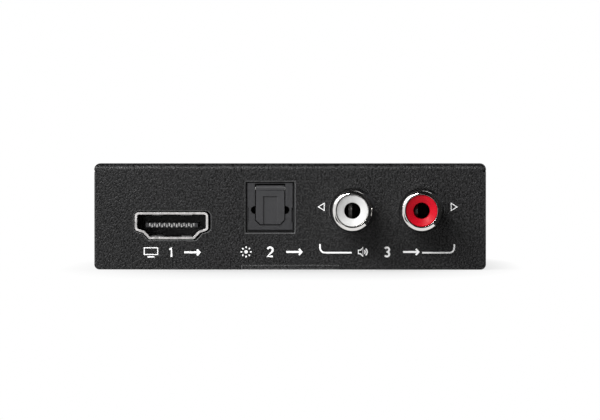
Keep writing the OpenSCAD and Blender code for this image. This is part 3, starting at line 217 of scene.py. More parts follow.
def board_mask(name, colour):
    """Solder mask over copper: pale traces under a glossy green film, on a 1.27 mm grid."""
    graph = Finish(name)
    flat = (1.0, 1.0, 0.0)
    grid = graph.node(
        "ShaderNodeTexBrick",
        {"Vector": graph.stretched(flat), "Scale": 1.0, "Mortar Size": 0.16 * mm,
         "Mortar Smooth": 0.3, "Brick Width": 7.6 * mm, "Row Height": 1.27 * mm},
        offset=0.37, offset_frequency=3,
    ).outputs["Fac"]
    gate = graph.ramp(graph.noise(scale=110.0, detail=1.0), low=0.0, high=1.0, start=0.47, end=0.53)
    copper = graph.maths("MULTIPLY", grid, gate)
    copper_tone = 2.1
    rough = graph.ramp(graph.noise(scale=400.0), low=0.22, high=0.36)
    graph.set(Base_Color=graph.mixed(copper, colour, shaded(colour, copper_tone)), Roughness=rough)
    graph.bump(copper, strength=0.5, depth=0.03 * mm)
    return graph.owner


def clear_lamp(name, colour):
    """Tinted clear epoxy with faint streaks."""
    graph = Finish(name)
    streaks = graph.noise(scale=700.0, detail=2.0)
    streak_tone = 0.9
    graph.set(
        Base_Color=graph.mixed(
            graph.ramp(streaks, low=0.0, high=1.0), colour, shaded(colour, streak_tone)
        ),
        Roughness=graph.ramp(streaks, low=0.05, high=0.12), Transmission_Weight=0.75, IOR=1.54,
    )
    graph.bump(streaks, strength=0.2, depth=0.004 * mm)
    return graph.owner


def printed_ink(name, colour):
    """Screen-printed ink: slightly uneven cover and a soft gloss."""
    graph = Finish(name)
    cover = graph.noise(scale=5000.0, detail=2.0)
    thin_tone = 0.9
    tone = graph.mixed(graph.ramp(cover, low=0.0, high=1.0), shaded(colour, thin_tone), colour)
    rough = graph.ramp(cover, low=0.4, high=0.6)
    graph.set(Base_Color=tone, Roughness=rough, Specular_IOR_Level=0.4)
    graph.bump(cover, strength=0.3, depth=0.006 * mm)
    return graph.owner


PAINTS = {
    "cover_paint": dict(colour=(0.01, 0.01, 0.0103), worn=(0.03, 0.03, 0.031)),
    # paler than the cover's paint: painted light that makes the bottom plate's front tab look lit
    "plate_paint": dict(colour=(0.016, 0.016, 0.0163), worn=(0.03, 0.03, 0.031)),
    # pale bevels on the sheets: paint thinned on the edges, and a painted highlight on them
    "thin_paint": dict(colour=(0.07, 0.07, 0.071), worn=(0.1, 0.1, 0.1), speckles=(0.8, 1.2)),
}
METALS = {
    "black_steel": dict(colour=(0.06, 0.06, 0.062), rough=0.34),
    "zinc_steel": dict(colour=(0.62, 0.62, 0.6), rough=0.28, grain=(1.0, 8.0, 8.0)),
    "nickel": dict(colour=(0.8, 0.785, 0.765), rough=0.08, grain_scale=300.0, relief=0.0004),
    "shell_nickel": dict(colour=(0.84, 0.82, 0.81), rough=0.38, relief=0.001),
    # painted shade: dark grey nickel for the inside of the digital sockets' shells
    "shell_inside": dict(colour=(0.32, 0.32, 0.32), rough=0.32, relief=0.003),
    "contact_nose": dict(colour=(0.66, 0.66, 0.65), rough=0.42, relief=0.001),
    # painted shade: near-black metal for the contacts deep in the phono holes
    "dark_bronze": dict(colour=(0.07, 0.065, 0.06), rough=0.5),
    # painted shade: bronze darkened for the leaf inside the phono hole
    "leaf_bronze": dict(colour=(0.1, 0.097, 0.094), rough=0.36),
    "gold_contact": dict(colour=(0.84, 0.72, 0.5), rough=0.3, grain=(6.0, 1.0, 6.0)),
    "tinned_contact": dict(colour=(0.7, 0.7, 0.69), rough=0.27, grain=(6.0, 6.0, 1.0)),
    "black_aluminium": dict(colour=(0.05, 0.05, 0.055), rough=0.42, grain=(1.0, 9.0, 1.0)),
    "can_aluminium": dict(colour=(0.72, 0.73, 0.75), rough=0.25, grain=(1.0, 1.0, 9.0)),
}
PLASTICS = {
    "black_plastic": dict(colour=(0.022, 0.022, 0.024), rough=0.42),
    "shutter_plastic": dict(colour=(0.032, 0.032, 0.034), rough=0.46, specular=0.35),
    "white_plastic": dict(colour=(0.59, 0.59, 0.582), rough=0.3, relief=0.004, specular=0.3),
    "red_plastic": dict(colour=(0.5, 0.004, 0.015), rough=0.34, relief=0.004, specular=0.12),
    "chip_epoxy": dict(colour=(0.024, 0.024, 0.026), rough=0.58, relief=0.02),
    "pad_silicone": dict(colour=(0.33, 0.43, 0.58), rough=0.7, relief=0.03),
    "ceramic_body": dict(colour=(0.42, 0.31, 0.2), rough=0.5),
    "resistor_body": dict(colour=(0.025, 0.025, 0.027), rough=0.3),
    "phenolic": dict(colour=(0.22, 0.12, 0.05), rough=0.45),
    "emitter_epoxy": dict(colour=(0.1, 0.055, 0.055), rough=0.2, coat=0.4),
    "ferrite": dict(colour=(0.075, 0.075, 0.08), rough=0.62, relief=0.03),
}
FINISHES = {
    name: maker(name, **settings)
    for maker, table in ((powder_coat, PAINTS), (metal, METALS), (plastic, PLASTICS))
    for name, settings in table.items()
}
FINISHES["solder_mask"] = board_mask("solder_mask", (0.008, 0.06, 0.03))
FINISHES["lamp_epoxy"] = clear_lamp("lamp_epoxy", (0.5, 0.74, 0.9))
INK = printed_ink("white_ink", (0.97, 0.97, 0.97))

# Making and placing pieces


def smooth(mesh, angle):
    """Smooth shading, broken at edges sharper than the angle in degrees."""
    mesh.polygons.foreach_set("use_smooth", [True] * len(mesh.polygons))
    mesh.set_sharp_from_angle(angle=math.radians(angle))


def new_object(name, data):
    made = bpy.data.objects.new(name, data)
    bpy.context.scene.collection.objects.link(made)
    return made


def new_piece(name, bm, angle=35.0):
    mesh = bpy.data.meshes.new(name)
    bm.to_mesh(mesh)
    bm.free()
    smooth(mesh, angle)
    return new_object(name, mesh)


def placed(piece, body, finish):
    """Finishes a new piece: its material and the body that it moves with."""
    piece.data.materials.clear()
    piece.data.materials.append(finish)
    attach(piece, body)
    return piece


# Pieces cut from the model's own solids, with their edges broken as on the real thing

FLAT_ANGLE = 0.5
SHARP_ANGLE = 28.0
SHEET_END = 1.6 * mm
TAB_TOP = 3.0 * mm
UPRIGHT = 10.0 * mm
PLUMB = 0.01 * mm


def weigh_edges(bm, lowest):
    """Marks a sheet's openings, tabs and upright sides for the pale bevel, partly a painted highlight, but not the
    barrels' holes, which stay dark.
    """
    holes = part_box("phono_body")
    weight = bm.edges.layers.float.new("bevel_weight_edge")
    along = [v.co.x for v in bm.verts]
    ends = min(along) + SHEET_END, max(along) - SHEET_END
    for edge in bm.edges:
        inside = all(ends[0] < v.co.x < ends[1] and v.co.z >= lowest for v in edge.verts)
        dark = all(holes[0].x < v.co.x < holes[1].x and v.co.y < 0 for v in edge.verts)
        run = edge.verts[1].co - edge.verts[0].co
        upright = abs(run.z) > UPRIGHT and math.hypot(run.x, run.y) < PLUMB
        marked = upright or (inside and not dark)
        if marked and edge.calc_face_angle(0.0) > math.radians(SHARP_ANGLE):
            edge[weight] = 1.0


def edged(node, width, finish, sheet):
    """A CAD node's shape in its place, with rounded edges, on a sheet only the marked ones."""
    source = NODES[node].data.copy()
    if "custom_normal" in source.attributes:
        source.attributes.remove(source.attributes["custom_normal"])
    bm = bmesh.new()
    bm.from_mesh(source)
    bpy.data.meshes.remove(source)
    bmesh.ops.remove_doubles(bm, verts=bm.verts, dist=WELD)
    bmesh.ops.dissolve_limit(
        bm, angle_limit=math.radians(FLAT_ANGLE), verts=bm.verts, edges=bm.edges, delimit={"NORMAL"}
    )
    if sheet:
        weigh_edges(bm, TAB_TOP if node == "top_cover" else 0.0)
    piece = new_piece(f"{node}_finished", bm, SHARP_ANGLE)
    breaks = piece.modifiers.new("broken edges", "BEVEL")
    breaks.width = width
    breaks.segments = 2
    breaks.limit_method = "WEIGHT" if sheet else "ANGLE"
    breaks.angle_limit = math.radians(SHARP_ANGLE)
    breaks.use_clamp_overlap = not sheet
    breaks.harden_normals = True
    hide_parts(node)
    placed(piece, BODY_OF[node], finish)
    # the marked bevels take the pale paint: thinned paint and painted highlight
    if sheet:
        piece.data.materials.append(FINISHES["thin_paint"])
        breaks.material = 1
    return piece


def shade_painted_inside(shell):
    """Painted shade inside the shell: faces deeper than the rim get a dark grey nickel, the rim keeps the bright
    one.
    """
    rim = 0.45 * mm
    along = [v.co.y for v in shell.data.vertices]
    shell.data.materials.append(FINISHES["shell_inside"])
    for face in shell.data.polygons:
        deep = min(face.center.y - min(along), max(along) - face.center.y)
        face.material_index = int(deep > rim)


EDGE_BREAKS = {
    "top_cover": 0.18, "bottom_plate": 0.15, "hdmi_out_shell": 0.1, "hdmi_in_shell": 0.1,
    "hdmi_out_insulator": 0.08, "hdmi_in_insulator": 0.08,
    "optical_housing": 0.13, "optical_shutter": 0.14, "phono_body": 0.15,
    "power_housing": 0.15, "switch_frame": 0.08, "switch_knob": 0.2, "side_screws": 0.06,
    "heatsink": 0.1,
}
SHEETS = ("top_cover", "bottom_plate")
SHELLS = ("hdmi_out_shell", "hdmi_in_shell")
for name, width in EDGE_BREAKS.items():
    finish = FINISHES["shell_nickel" if name in SHELLS else SLOT_OF[name]]
    piece = edged(name, width * mm, finish, name in SHEETS)
    # the shells' insides get painted shade
    if name in SHELLS:
        shade_painted_inside(piece)

# Turned pieces of the phono sockets


def arc(radius_at, y_at, size, start, end, steps=6):
    """Points (radius, y) of an arc about (radius_at, y_at), angles in degrees from +radius to +y."""
    turns = [math.radians(start + (end - start) * i / steps) for i in range(steps + 1)]
    return [(radius_at + size * math.cos(t), y_at + size * math.sin(t)) for t in turns]


def lathe(name, profile, centre):
    """A turned piece: a closed profile of (radius, y), in metres, about the axis along Y at (x, z)."""
    steps, sharp = 112, 40.0
    bm = bmesh.new()
    rings = []
    for radius, y in profile:
        ring = []
        for i in range(steps):
            turn = 2 * math.pi * i / steps
            ring.append(bm.verts.new((
                centre[0] + radius * math.cos(turn), y, centre[1] + radius * math.sin(turn)
            )))
        rings.append(ring)
    for ring, following in zip(rings, rings[1:] + rings[:1]):
        for i in range(steps):
            j = (i + 1) % steps
            bm.faces.new((ring[i], ring[j], following[j], following[i]))
    bmesh.ops.recalc_face_normals(bm, faces=bm.faces)
    return new_piece(name, bm, sharp)


def block(bm, low, high):
    """Adds a box between two corners."""
    for vertex in bmesh.ops.create_cube(bm, size=1.0)["verts"]:
        for k in range(3):
            vertex.co[k] = low[k] if vertex.co[k] < 0 else high[k]


PHONO_FACE_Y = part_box("top_cover")[0].y


def phono_barrel(side):
    """The nickel barrel with a rolled rim, and its ground leg. Returns the barrel's axis (x, z)."""
    wall, step, rolled, lip = 0.85 * mm, 0.25 * mm, 0.78 * mm, 0.03 * mm
    node = f"phono_barrel_{side}"
    low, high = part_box(node)
    outer = (high.x - low.x) / 2
    inner, seat = outer - wall, outer - step
    centre = ((low.x + high.x) / 2, high.z - outer)
    profile = [
        *arc(inner + lip, low.y + lip, lip, 180, 270),
        *arc(outer - rolled, low.y + rolled, rolled, 270, 360, steps=16),
        (outer, PHONO_FACE_Y), (seat, PHONO_FACE_Y), (seat, high.y), (inner, high.y),
    ]
    barrel = lathe(f"barrel_{side}", profile, centre)
    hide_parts(node)
    placed(barrel, "case", FINISHES["nickel"])
    leg_half, leg_t, leg_back, leg_gap, leg_edge = 0.9 * mm, 0.5 * mm, 1.6 * mm, 0.1 * mm, 0.08 * mm
    leg_y = PHONO_FACE_Y + leg_back
    leg_top = centre[1] - inner - leg_gap
    bm = bmesh.new()
    block(bm, (centre[0] - leg_half, leg_y, low.z), (centre[0] + leg_half, leg_y + leg_t, leg_top))
    bmesh.ops.bevel(bm, geom=bm.edges[:], offset=leg_edge, segments=2, affect="EDGES")
    leg = new_piece(f"barrel_leg_{side}", bm)
    placed(leg, "case", FINISHES["tinned_contact"])
    return centre


def phono_insulator(side, centre):
    """The coloured insulator: a dished face with rounded edges round the pin's hole."""
    dish, dish_depth, hole, hole_depth, chamber = 2.95 * mm, 0.9 * mm, 1.65 * mm, 2.6 * mm, 2.25 * mm
    round_out, round_in = 0.12 * mm, 0.15 * mm
    node = f"phono_insulator_{side}"
    low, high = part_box(node)
    outer = (high.x - low.x) / 2
    dish_y = low.y + dish_depth
    throat_y = dish_y + hole_depth
    profile = [
        *arc(outer - round_out, low.y + round_out, round_out, 360, 270),
        (dish, low.y),
        *arc(hole + round_in, dish_y + round_in, round_in, 270, 180),
        (hole, throat_y), (chamber, throat_y), (chamber, high.y), (outer, high.y),
    ]
    piece = lathe(f"insulator_{side}", profile, centre)
    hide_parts(node)
    placed(piece, "case", FINISHES[SLOT_OF[node]])


def contact_leaf(side, centre, shift):
    """The front leaf of the sprung contact: a strip that bows into the hole's light, coloured very dark as painted
    shade of the hole.
    """
    half_w, thick, half_height, steps = 0.35 * mm, 0.3 * mm, 1.45 * mm, 10
    proud, bow = 0.35 * mm, 0.5 * mm
    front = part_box(f"phono_contact_{side}")[0].y
    bm = bmesh.new()
    rows = []
    for i in range(steps + 1):
        z = -half_height + 2 * half_height * i / steps
        y = front - proud - bow * (1 - (z / half_height) ** 2)
        rows.append([
            bm.verts.new((centre[0] + shift + dx, y + dy, centre[1] + z))
            for dx, dy in ((-half_w, 0.0), (half_w, 0.0), (half_w, thick), (-half_w, thick))
        ])
    for row, following in zip(rows, rows[1:]):
        for i in range(4):
            j = (i + 1) % 4
            bm.faces.new((row[i], row[j], following[j], following[i]))
    bm.faces.new(rows[0][::-1])
    bm.faces.new(rows[-1])
    bmesh.ops.recalc_face_normals(bm, faces=bm.faces)
    leaf = new_piece(f"contact_leaf_{side}", bm)
    placed(leaf, "case", FINISHES["leaf_bronze"])


for side, leaf_shift in (("left", -0.42 * mm), ("right", -1.1 * mm)):
    centre = phono_barrel(side)
    phono_insulator(side, centre)
    contact_leaf(side, centre, leaf_shift)

# Contact tips of the two digital sockets

PITCH = 0.5 * mm


def islands(mesh):
    """The corner points of each of a mesh's separate solids."""
    bm = bmesh.new()
    bm.from_mesh(mesh)
    bmesh.ops.remove_doubles(bm, verts=bm.verts, dist=WELD)
    seen, groups = set(), []
    for start in bm.verts:
        if start in seen:
            continue
        seen.add(start)
        group = [start]
        for vertex in group:
            for edge in vertex.link_edges:
                other = edge.other_vert(vertex)
                if other not in seen:
                    seen.add(other)
                    group.append(other)
        groups.append([v.co.copy() for v in group])
    bm.free()
    return groups


def contact_tips(socket, towards):
    """The nose of each contact, curled over the front of the tongue, which faces towards * y."""
    half_w, lap, proud, depth = 0.18 * mm, 0.26 * mm, 0.04 * mm, 0.4 * mm
    near, end_gap, rounding = 1.5 * mm, 0.06 * mm, 0.07 * mm
    node = f"hdmi_{socket}_contacts"
    middle_x = sum(corner.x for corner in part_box(node)) / 2
    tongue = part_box(f"hdmi_{socket}_insulator")
    front = tongue[0].y if towards < 0 else tongue[1].y
    noses = []
    for points in islands(NODES[node].data):
        nose = [p for p in points if abs(p.y - front) < near]
        if nose:
            noses.append((nose[0].x, min(p.z for p in nose), max(p.z for p in nose)))
    middle_z = (min(nose[1] for nose in noses) + max(nose[2] for nose in noses)) / 2
    ends = sorted((front + towards * proud, front - towards * depth))
    bm = bmesh.new()
    for edge_x, bottom, top in noses:
        x = round((edge_x - middle_x) / PITCH) * PITCH + middle_x
        if bottom + top > 2 * middle_z:
            low_z, high_z = middle_z - lap, top - end_gap
        else:
            low_z, high_z = bottom, middle_z + lap - end_gap
        block(bm, (x - half_w, ends[0], low_z), (x + half_w, ends[1], high_z))
    bmesh.ops.bevel(bm, geom=bm.edges[:], offset=rounding, segments=2, affect="EDGES")
    comb = new_piece(f"contact_tips_{socket}", bm)
    placed(comb, "case", FINISHES["contact_nose"])


contact_tips("out", towards=-1)
contact_tips("in", towards=1)

# Torsion spring of the optical shutter


def wire(name, points, radius, body):
    """A round wire along points."""
    curve = bpy.data.curves.new(name, "CURVE")
    curve.dimensions = "3D"
    curve.bevel_depth = radius
    curve.bevel_resolution = 3
    curve.use_fill_caps = True
    spline = curve.splines.new("POLY")
    spline.points.add(len(points) - 1)
    for point, place in zip(spline.points, points):
        point.co = (*place, 1.0)
    return placed(new_object(name, curve), body, FINISHES["zinc_steel"])


def shutter_spring():
    """The coil and its fixed leg ride on the case, the leg on the door rides with the shutter."""
    wire_r, coil_r, turns, pitch, steps = 0.1 * mm, 0.62 * mm, 2.75, 0.24 * mm, 96
    coil_gap, behind_door = 2.3 * wire_r, 0.15 * mm
    toe_end, toe_start, toe_rise, toe_top = 1.6 * mm, 1.5 * mm, 1.0 * mm, 0.1 * mm
    door_edge, door_rise = 0.35 * mm, 0.25 * mm
    joint = next(j for j in frame["joints"] if j["name"] == "shutter_hinge")
    axis = Vector(joint["pos_m"])
    low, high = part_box("shutter_spring")
    door_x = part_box("optical_shutter")[1].x
    coil_x = high.x - turns * pitch - wire_r
    coil = []
    for i in range(steps + 1):
        turn = 2 * math.pi * turns * i / steps
        coil.append((
            coil_x + pitch * turns * i / steps,
            axis.y + coil_r * math.cos(turn), axis.z + coil_r * math.sin(turn),
        ))
    heel = (coil_x + turns * pitch, high.y - wire_r, axis.z - coil_r)
    fixed = wire("spring_coil", [*coil, heel], wire_r, "case")
    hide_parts("shutter_spring")
    toe_x, toe_y = coil_x - coil_gap, axis.y + behind_door
    toe = [
        (low.x + wire_r, toe_y, axis.z - toe_end),
        (door_x - door_edge, toe_y, axis.z - toe_start),
        (door_x - door_rise, toe_y, axis.z - toe_rise),
        (toe_x, axis.y + coil_r, axis.z - toe_top),
        (toe_x, axis.y + coil_r, axis.z),
    ]
    wire("spring_toe", toe, wire_r, "optical_shutter")


shutter_spring()

# Strokes of plain numerals and pictograms: runs of points (x, z)


def ring(x, z, radius, start=0.0, end=360.0, steps=20):
    turns = [math.radians(start + (end - start) * i / steps) for i in range(steps + 1)]
    run = [(x + radius * math.cos(t), z + radius * math.sin(t)) for t in turns]
    return [*run[:-1], run[0]] if end - start == 360.0 else run


def numeral(figure, x, z, height):
    """A plain 1, 2 or 3, centred on (x, z)."""
    half, wide = height / 2, height * 0.3
    if figure == 1:
        flag_x, flag_z = wide * 0.7, half * 0.55
        return [[(x - flag_x, z + flag_z), (x, z + half), (x, z - half)]]
    if figure == 2:
        top = ring(x, z + half - wide, wide, 160.0, -30.0, steps=10)
        return [[*top, (x - wide, z - half), (x + wide, z - half)]]
    bowl = half / 2
    upper = ring(x, z + bowl, bowl, 150.0, -90.0, steps=10)
    lower = ring(x, z - bowl, bowl, 90.0, -150.0, steps=10)
    return [[*upper, *lower]]


def screen_strokes(x, z, size):
    """A screen on its foot."""
    half_w, half_h = size * 0.75, size * 0.4
    bottom, top = z - half_h * 0.6, z + half_h * 1.25
    foot_half, foot_z = half_w * 0.5, z - size * 0.5
    return [
        [(x - half_w, bottom), (x + half_w, bottom), (x + half_w, top), (x - half_w, top),
         (x - half_w, bottom)],
        [(x - foot_half, foot_z), (x + foot_half, foot_z)],
    ]


def arrow_strokes(x, z, length, head):
    """An arrow that points along +x."""
    tip = (x + length / 2, z)
    return [
        [(x - length / 2, z), tip],
        [(tip[0] - head, z + head), tip, (tip[0] - head, z - head)],
    ]


def light_strokes(x, z, size):
    """A point of light with rays."""
    core, ray, rays = 0.12, (0.42, 0.6), 8
    strokes = [ring(x, z, size * core, steps=10)]
    for i in range(rays):
        turn = math.radians(360 / rays * i)
        strokes.append([(x + size * r * math.cos(turn), z + size * r * math.sin(turn)) for r in ray])
    return strokes


def speaker_strokes(x, z, size):
    """A loudspeaker with two waves."""
    half, spread = size / 2, 50.0
    neck_x, neck_z = half * 0.5, half * 0.4
    near_wave, far_wave = half * 0.5, half * 0.95
    body = [
        (x - half, z - neck_z), (x - neck_x, z - neck_z), (x, z - half), (x, z + half),
        (x - neck_x, z + neck_z), (x - half, z + neck_z), (x - half, z - neck_z),
    ]
    return [
        body,
        ring(x, z, near_wave, -spread, spread, steps=8),
        ring(x, z, far_wave, -spread, spread, steps=10),
    ]


def mirrored(strokes, x):
    """Strokes turned over about x, for the rear panel, which is read from behind."""
    return [[(2 * x - px, pz) for px, pz in stroke] for stroke in strokes]


# Printed marks

INK_DEPTH = 0.012 * mm
MARK_LINE = 0.4 * mm
PICTURE_LINE = 0.27 * mm
MARK_H = 1.85 * mm


def mark(name, strokes, line=MARK_LINE, rear=False):
    """Strokes of the given line width, printed flat on the face of a panel."""
    curve = bpy.data.curves.new(name, "CURVE")
    curve.dimensions = "3D"
    curve.bevel_depth = line / 2
    curve.bevel_resolution = 2
    curve.use_fill_caps = True
    for stroke in strokes:
        closed = stroke[0] == stroke[-1] and len(stroke) > 2
        run = stroke[:-1] if closed else stroke
        spline = curve.splines.new("POLY")
        spline.points.add(len(run) - 1)
        spline.use_cyclic_u = closed
        for point, (x, z) in zip(spline.points, run):
            point.co = (x, 0.0, z, 1.0)
    rough = new_object(f"{name}_run", curve)
    shown = rough.evaluated_get(bpy.context.evaluated_depsgraph_get())
    mesh = bpy.data.meshes.new_from_object(shown)
    bpy.data.objects.remove(rough)
    face_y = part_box("top_cover")[1 if rear else 0].y
    for vertex in mesh.vertices:
        vertex.co.y = face_y + vertex.co.y * INK_DEPTH / (line / 2)
    mesh.name = name
    smooth(mesh, angle=60)
    piece = new_object(name, mesh)
    piece.data.materials.clear()
    piece.data.materials.append(INK)
    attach(piece, "case")


def socket_x(node):
    low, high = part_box(node)
    return (low.x + high.x) / 2


def output_mark(name, figure, x, z, pictogram, spread):
    """A pictogram, its numeral and an arrow, side by side under a socket."""
    arrow = arrow_strokes(x + spread, z, length=3.2 * mm, head=0.6 * mm)
    mark(f"{name}_picture", pictogram(x - spread, z, MARK_H), PICTURE_LINE)
    mark(name, [*numeral(figure, x, z, MARK_H), *arrow])


def bracket():
    """The line that groups the two phono sockets, broken for the mark in its middle."""
    x_left, x_right, gap_left, gap_right = 6.15 * mm, 33.55 * mm, 12.6 * mm, 27.0 * mm
    top_z, line_z, radius, line = 5.2 * mm, 3.45 * mm, 1.0 * mm, 0.32 * mm
    bend_left = ring(x_left + radius, line_z + radius, radius, 180.0, 270.0, steps=6)
    bend_right = ring(x_right - radius, line_z + radius, radius, 360.0, 270.0, steps=6)
    left = [(x_left, top_z), *bend_left, (gap_left, line_z)]
    right = [(x_right, top_z), *bend_right, (gap_right, line_z)]
    mark("bracket_line", [left, right], line)


def side_mark(name, x, towards):
    """A small triangle that points to the left or the right channel."""
    z, half_w, half_h, line = 12.8 * mm, 0.6 * mm, 0.75 * mm, 0.28 * mm
    tip, back = x + towards * half_w, x - towards * half_w
    mark(name, [[(back, z + half_h), (tip, z), (back, z - half_h), (back, z + half_h)]], line)


def polarity_strokes(x, z):
    """The inlet's polarity: a ring round its pin, with plus and minus on lines to the two sides."""
    outer, inner, sleeve = 0.75 * mm, 0.18 * mm, 0.8 * mm
    line_end, sign_in, sign_out, plus_half = 2.1 * mm, 2.6 * mm, 3.4 * mm, 0.4 * mm
    plus_x = x + (sign_in + sign_out) / 2
    return [
        ring(x, z, outer, 40.0, 320.0, steps=16),
        ring(x, z, inner, steps=10),
        [(x, z), (x + line_end, z)],
        [(x - sleeve, z), (x - line_end, z)],
        [(x + sign_in, z), (x + sign_out, z)],
        [(plus_x, z - plus_half), (plus_x, z + plus_half)],
        [(x - sign_in, z), (x - sign_out, z)],
    ]


def rear_marks():
    """Numerals and pictograms under the input, the inlet, the switch and the light."""
    input_x, input_z, spread = socket_x("hdmi_in_shell"), 3.5 * mm, 2.2 * mm
    inlet_x, inlet_z = socket_x("power_housing"), 3.6 * mm
    light_x, light_z, light_size, light_line = socket_x("light_lamp"), 4.2 * mm, 1.5 * mm, 0.2 * mm
    switch_x, throw, fine_line = socket_x("switch_frame"), 2.0 * mm, 0.24 * mm
    tick_low, tick_high, figure_z, figure_h = 5.3 * mm, 5.9 * mm, 4.0 * mm, 1.3 * mm
    mark("rear_mark_screen", screen_strokes(input_x + spread, input_z, MARK_H), rear=True)
    arrow = arrow_strokes(input_x - spread, input_z, length=2.8 * mm, head=0.55 * mm)
    mark("rear_mark_arrow", arrow, rear=True)
    mark("rear_mark_polarity", polarity_strokes(inlet_x, inlet_z), fine_line, rear=True)
    for place in (1, 2, 3):
        x = switch_x + (place - 2) * throw
        mark(f"rear_mark_tick_{place}", [[(x, tick_low), (x, tick_high)]], rear=True)
        strokes = numeral(4 - place, x, figure_z, figure_h)
        mark(f"rear_mark_place_{place}", mirrored(strokes, x), fine_line, rear=True)
    light = light_strokes(light_x, light_z, light_size)
    mark("rear_mark_light", mirrored(light, light_x), light_line, rear=True)


PHONO_X = (socket_x("phono_barrel_left") + socket_x("phono_barrel_right")) / 2
output_mark("mark_screen_1", 1, socket_x("hdmi_out_shell"), 3.5 * mm, screen_strokes, 4.2 * mm)
output_mark("mark_light_2", 2, socket_x("optical_housing"), 3.6 * mm, light_strokes, 4.9 * mm)
output_mark("mark_speaker_3", 3, PHONO_X, 3.6 * mm, speaker_strokes, 4.9 * mm)
bracket()
side_mark("mark_channel_left", 6.4 * mm, towards=-1)
side_mark("mark_channel_right", 33.5 * mm, towards=1)
rear_marks()

# Finishes of the nodes that stay as they are

# the phono contacts deep in the holes get near-black metal as painted shade
IN_PAINTED_SHADE = ("phono_contact_left", "phono_contact_right")
for name, node in NODES.items():
    node.data.materials.clear()
    node.data.materials.append(FINISHES["dark_bronze" if name in IN_PAINTED_SHADE else SLOT_OF[name]])

# Studio

WHITE = (1.0, 1.0, 1.0, 1.0)


def floor_material():
    """Paper, clear from below: near the case a grey matt sheet, which takes the real shadow and adds painted shade
    round the case, plain white further off.
    """
    graph = Finish("white_paper")
    # size of the painted shade round the case: half sizes of its core and the lengths of its fade
    half_w, half_d = 16 * mm, 14 * mm
    fade_x, fade_y = 32 * mm, 95 * mm
    fibres = graph.ramp(graph.noise(scale=900.0), low=0.0, high=1.0)
    tone = graph.mixed(fibres, (0.6, 0.6, 0.6), (0.64, 0.64, 0.64))
    graph.set(Base_Color=tone, Roughness=1.0, Specular_IOR_Level=0.0)
    steps = (
        ("ABSOLUTE", None), ("SUBTRACT", (half_w, half_d, 0.0)), ("MAXIMUM", (0.0, 0.0, 0.0)),
        ("DIVIDE", (fade_x, fade_y, 1.0)), ("LENGTH", None),
    )
    offset = graph.place
    for operation, value in steps:
        inputs = {0: offset} if value is None else {0: offset, 1: value}
        outlet = "Value" if operation == "LENGTH" else "Vector"
        offset = graph.node("ShaderNodeVectorMath", inputs, operation=operation).outputs[outlet]
    far = graph.ramp(offset, low=0.0, high=1.0, start=0.0, end=1.0)
    plain = graph.maths("MULTIPLY", far, graph.seen_ray())
    white = graph.node("ShaderNodeEmission", {"Color": WHITE, "Strength": 1.0})
    under = graph.node("ShaderNodeNewGeometry").outputs["Backfacing"]
    clear = graph.node("ShaderNodeBsdfTransparent").outputs["BSDF"]
    both = graph.node(
        "ShaderNodeMixShader",
        {0: plain, 1: graph.shader.outputs["BSDF"], 2: white.outputs["Emission"]},
    )
    sided = graph.node("ShaderNodeMixShader", {0: under, 1: both.outputs["Shader"], 2: clear})
    output = next(n for n in graph.nodes if n.type == "OUTPUT_MATERIAL")
    graph.links.new(sided.outputs["Shader"], output.inputs["Surface"])
    return graph.owner


def floor():
    """A wide sheet just under the case, which mirrors don't show."""
    half_size, drop = 6.0, 0.02 * mm
    bm = bmesh.new()
    bmesh.ops.create_grid(bm, x_segments=2, y_segments=2, size=half_size)
    ground = new_piece("paper_floor", bm)
    ground.data.materials.append(floor_material())
    ground.location.z = -drop
    ground.visible_glossy = False


def surroundings():
    """White to the camera and in reflections, and a soft fill on everything."""
    fill = 0.1
    world = bpy.data.worlds.new("studio")
    bpy.context.scene.world = world
    graph = Graph(world)
    background = graph.nodes["Background"]
    background.inputs["Color"].default_value = WHITE
    level = graph.ramp(graph.seen_ray(), low=fill, high=1.0, start=0.0, end=1.0)
    graph.links.new(level, background.inputs["Strength"])


def facing(place, aim, front):
    """The turn that points an object's front axis from place to aim."""
    return (Vector(aim) - Vector(place)).to_track_quat(front, "Y")


def soft_box(name, place, aim, size, power):
    lamp = bpy.data.lights.new(name, "AREA")
    lamp.shape = "RECTANGLE"
    lamp.size, lamp.size_y = size
    lamp.energy = power
    holder = new_object(name, lamp)
    holder.location = place
    holder.rotation_euler = facing(place, aim, "-Z").to_euler()


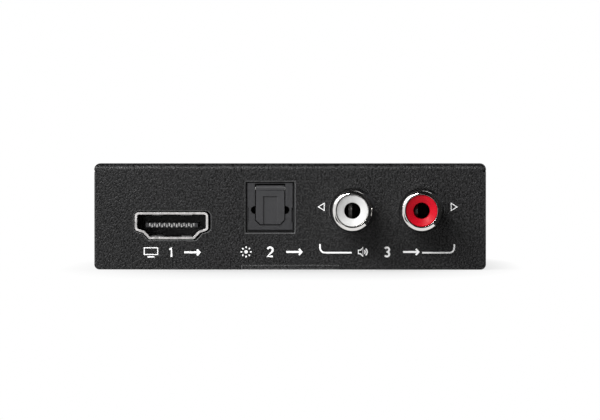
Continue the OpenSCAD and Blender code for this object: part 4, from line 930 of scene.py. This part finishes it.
def dark_card(name, place, aim, size, roll=0.0):
    """A black card that only reflections see, which gives bright metal its dark side."""
    graph = Finish(f"{name}_cloth")
    nap = graph.ramp(graph.noise(scale=40.0), low=0.0, high=1.0)
    tone = graph.mixed(nap, (0.004, 0.004, 0.004), (0.008, 0.008, 0.008))
    graph.set(Base_Color=tone, Roughness=1.0)
    bm = bmesh.new()
    bmesh.ops.create_grid(bm, x_segments=1, y_segments=1, size=0.5)
    card = new_piece(name, bm)
    card.data.materials.append(graph.owner)
    card.scale = (*size, 1.0)
    card.location = place
    turn = facing(place, aim, "Z") @ Quaternion((0, 0, 1), math.radians(roll))
    card.rotation_euler = turn.to_euler()
    card.visible_camera = False
    card.visible_diffuse = False
    card.visible_shadow = False
    card.visible_transmission = False


def camera():
    """At the photograph's angle: just right of the middle, level with the case's top."""
    distance, view_width, sensor = 0.8, 0.12245, 36.0
    data = bpy.data.cameras.new("camera")
    data.sensor_width = sensor
    data.lens = sensor * distance / view_width
    data.clip_start, data.clip_end = 0.01, 20.0
    place = Vector((18.56 * mm, PHONO_FACE_Y - distance, 21.7 * mm))
    aim = Vector((2.06 * mm, PHONO_FACE_Y, 12.16 * mm))
    holder = new_object("camera", data)
    holder.location = place
    holder.rotation_euler = facing(place, aim, "-Z").to_euler()
    bpy.context.scene.camera = holder


MIDDLE = (0.0, -0.02, 0.01)
floor()
surroundings()
soft_box("key_light", (-0.42, -0.27, 0.375), MIDDLE, size=(0.36, 0.36), power=2.5)
soft_box("strip_light", (-0.36, -0.54, 0.435), MIDDLE, size=(0.7, 0.1), power=6.4)
soft_box("rear_light", (0.52, 0.5, 0.36), MIDDLE, size=(0.9, 0.9), power=3.8)
dark_card("card_right", (0.35, -0.1, 0.45), aim=(0.0, -0.1, 0.45), size=(2.0, 1.6))
dark_card("card_over", (0.0, -0.2, 0.95), aim=(0.0, -0.2, 0.0), size=(2.4, 2.2))
dark_card("card_front", (0.155, -0.95, 0.4), aim=(0.155, 0.0, 0.4), size=(0.55, 1.6))
dark_card("card_back", (0.0, 0.6, 0.2), aim=(0.0, 0.0, 0.2), size=(2.4, 0.8))
dark_card("card_low_left", (-0.35, -0.25, -0.2), aim=(-0.35, 0.0, -0.2), size=(0.62, 0.1), roll=-30.0)
camera()
bpy.context.scene.view_settings.view_transform = "Standard"
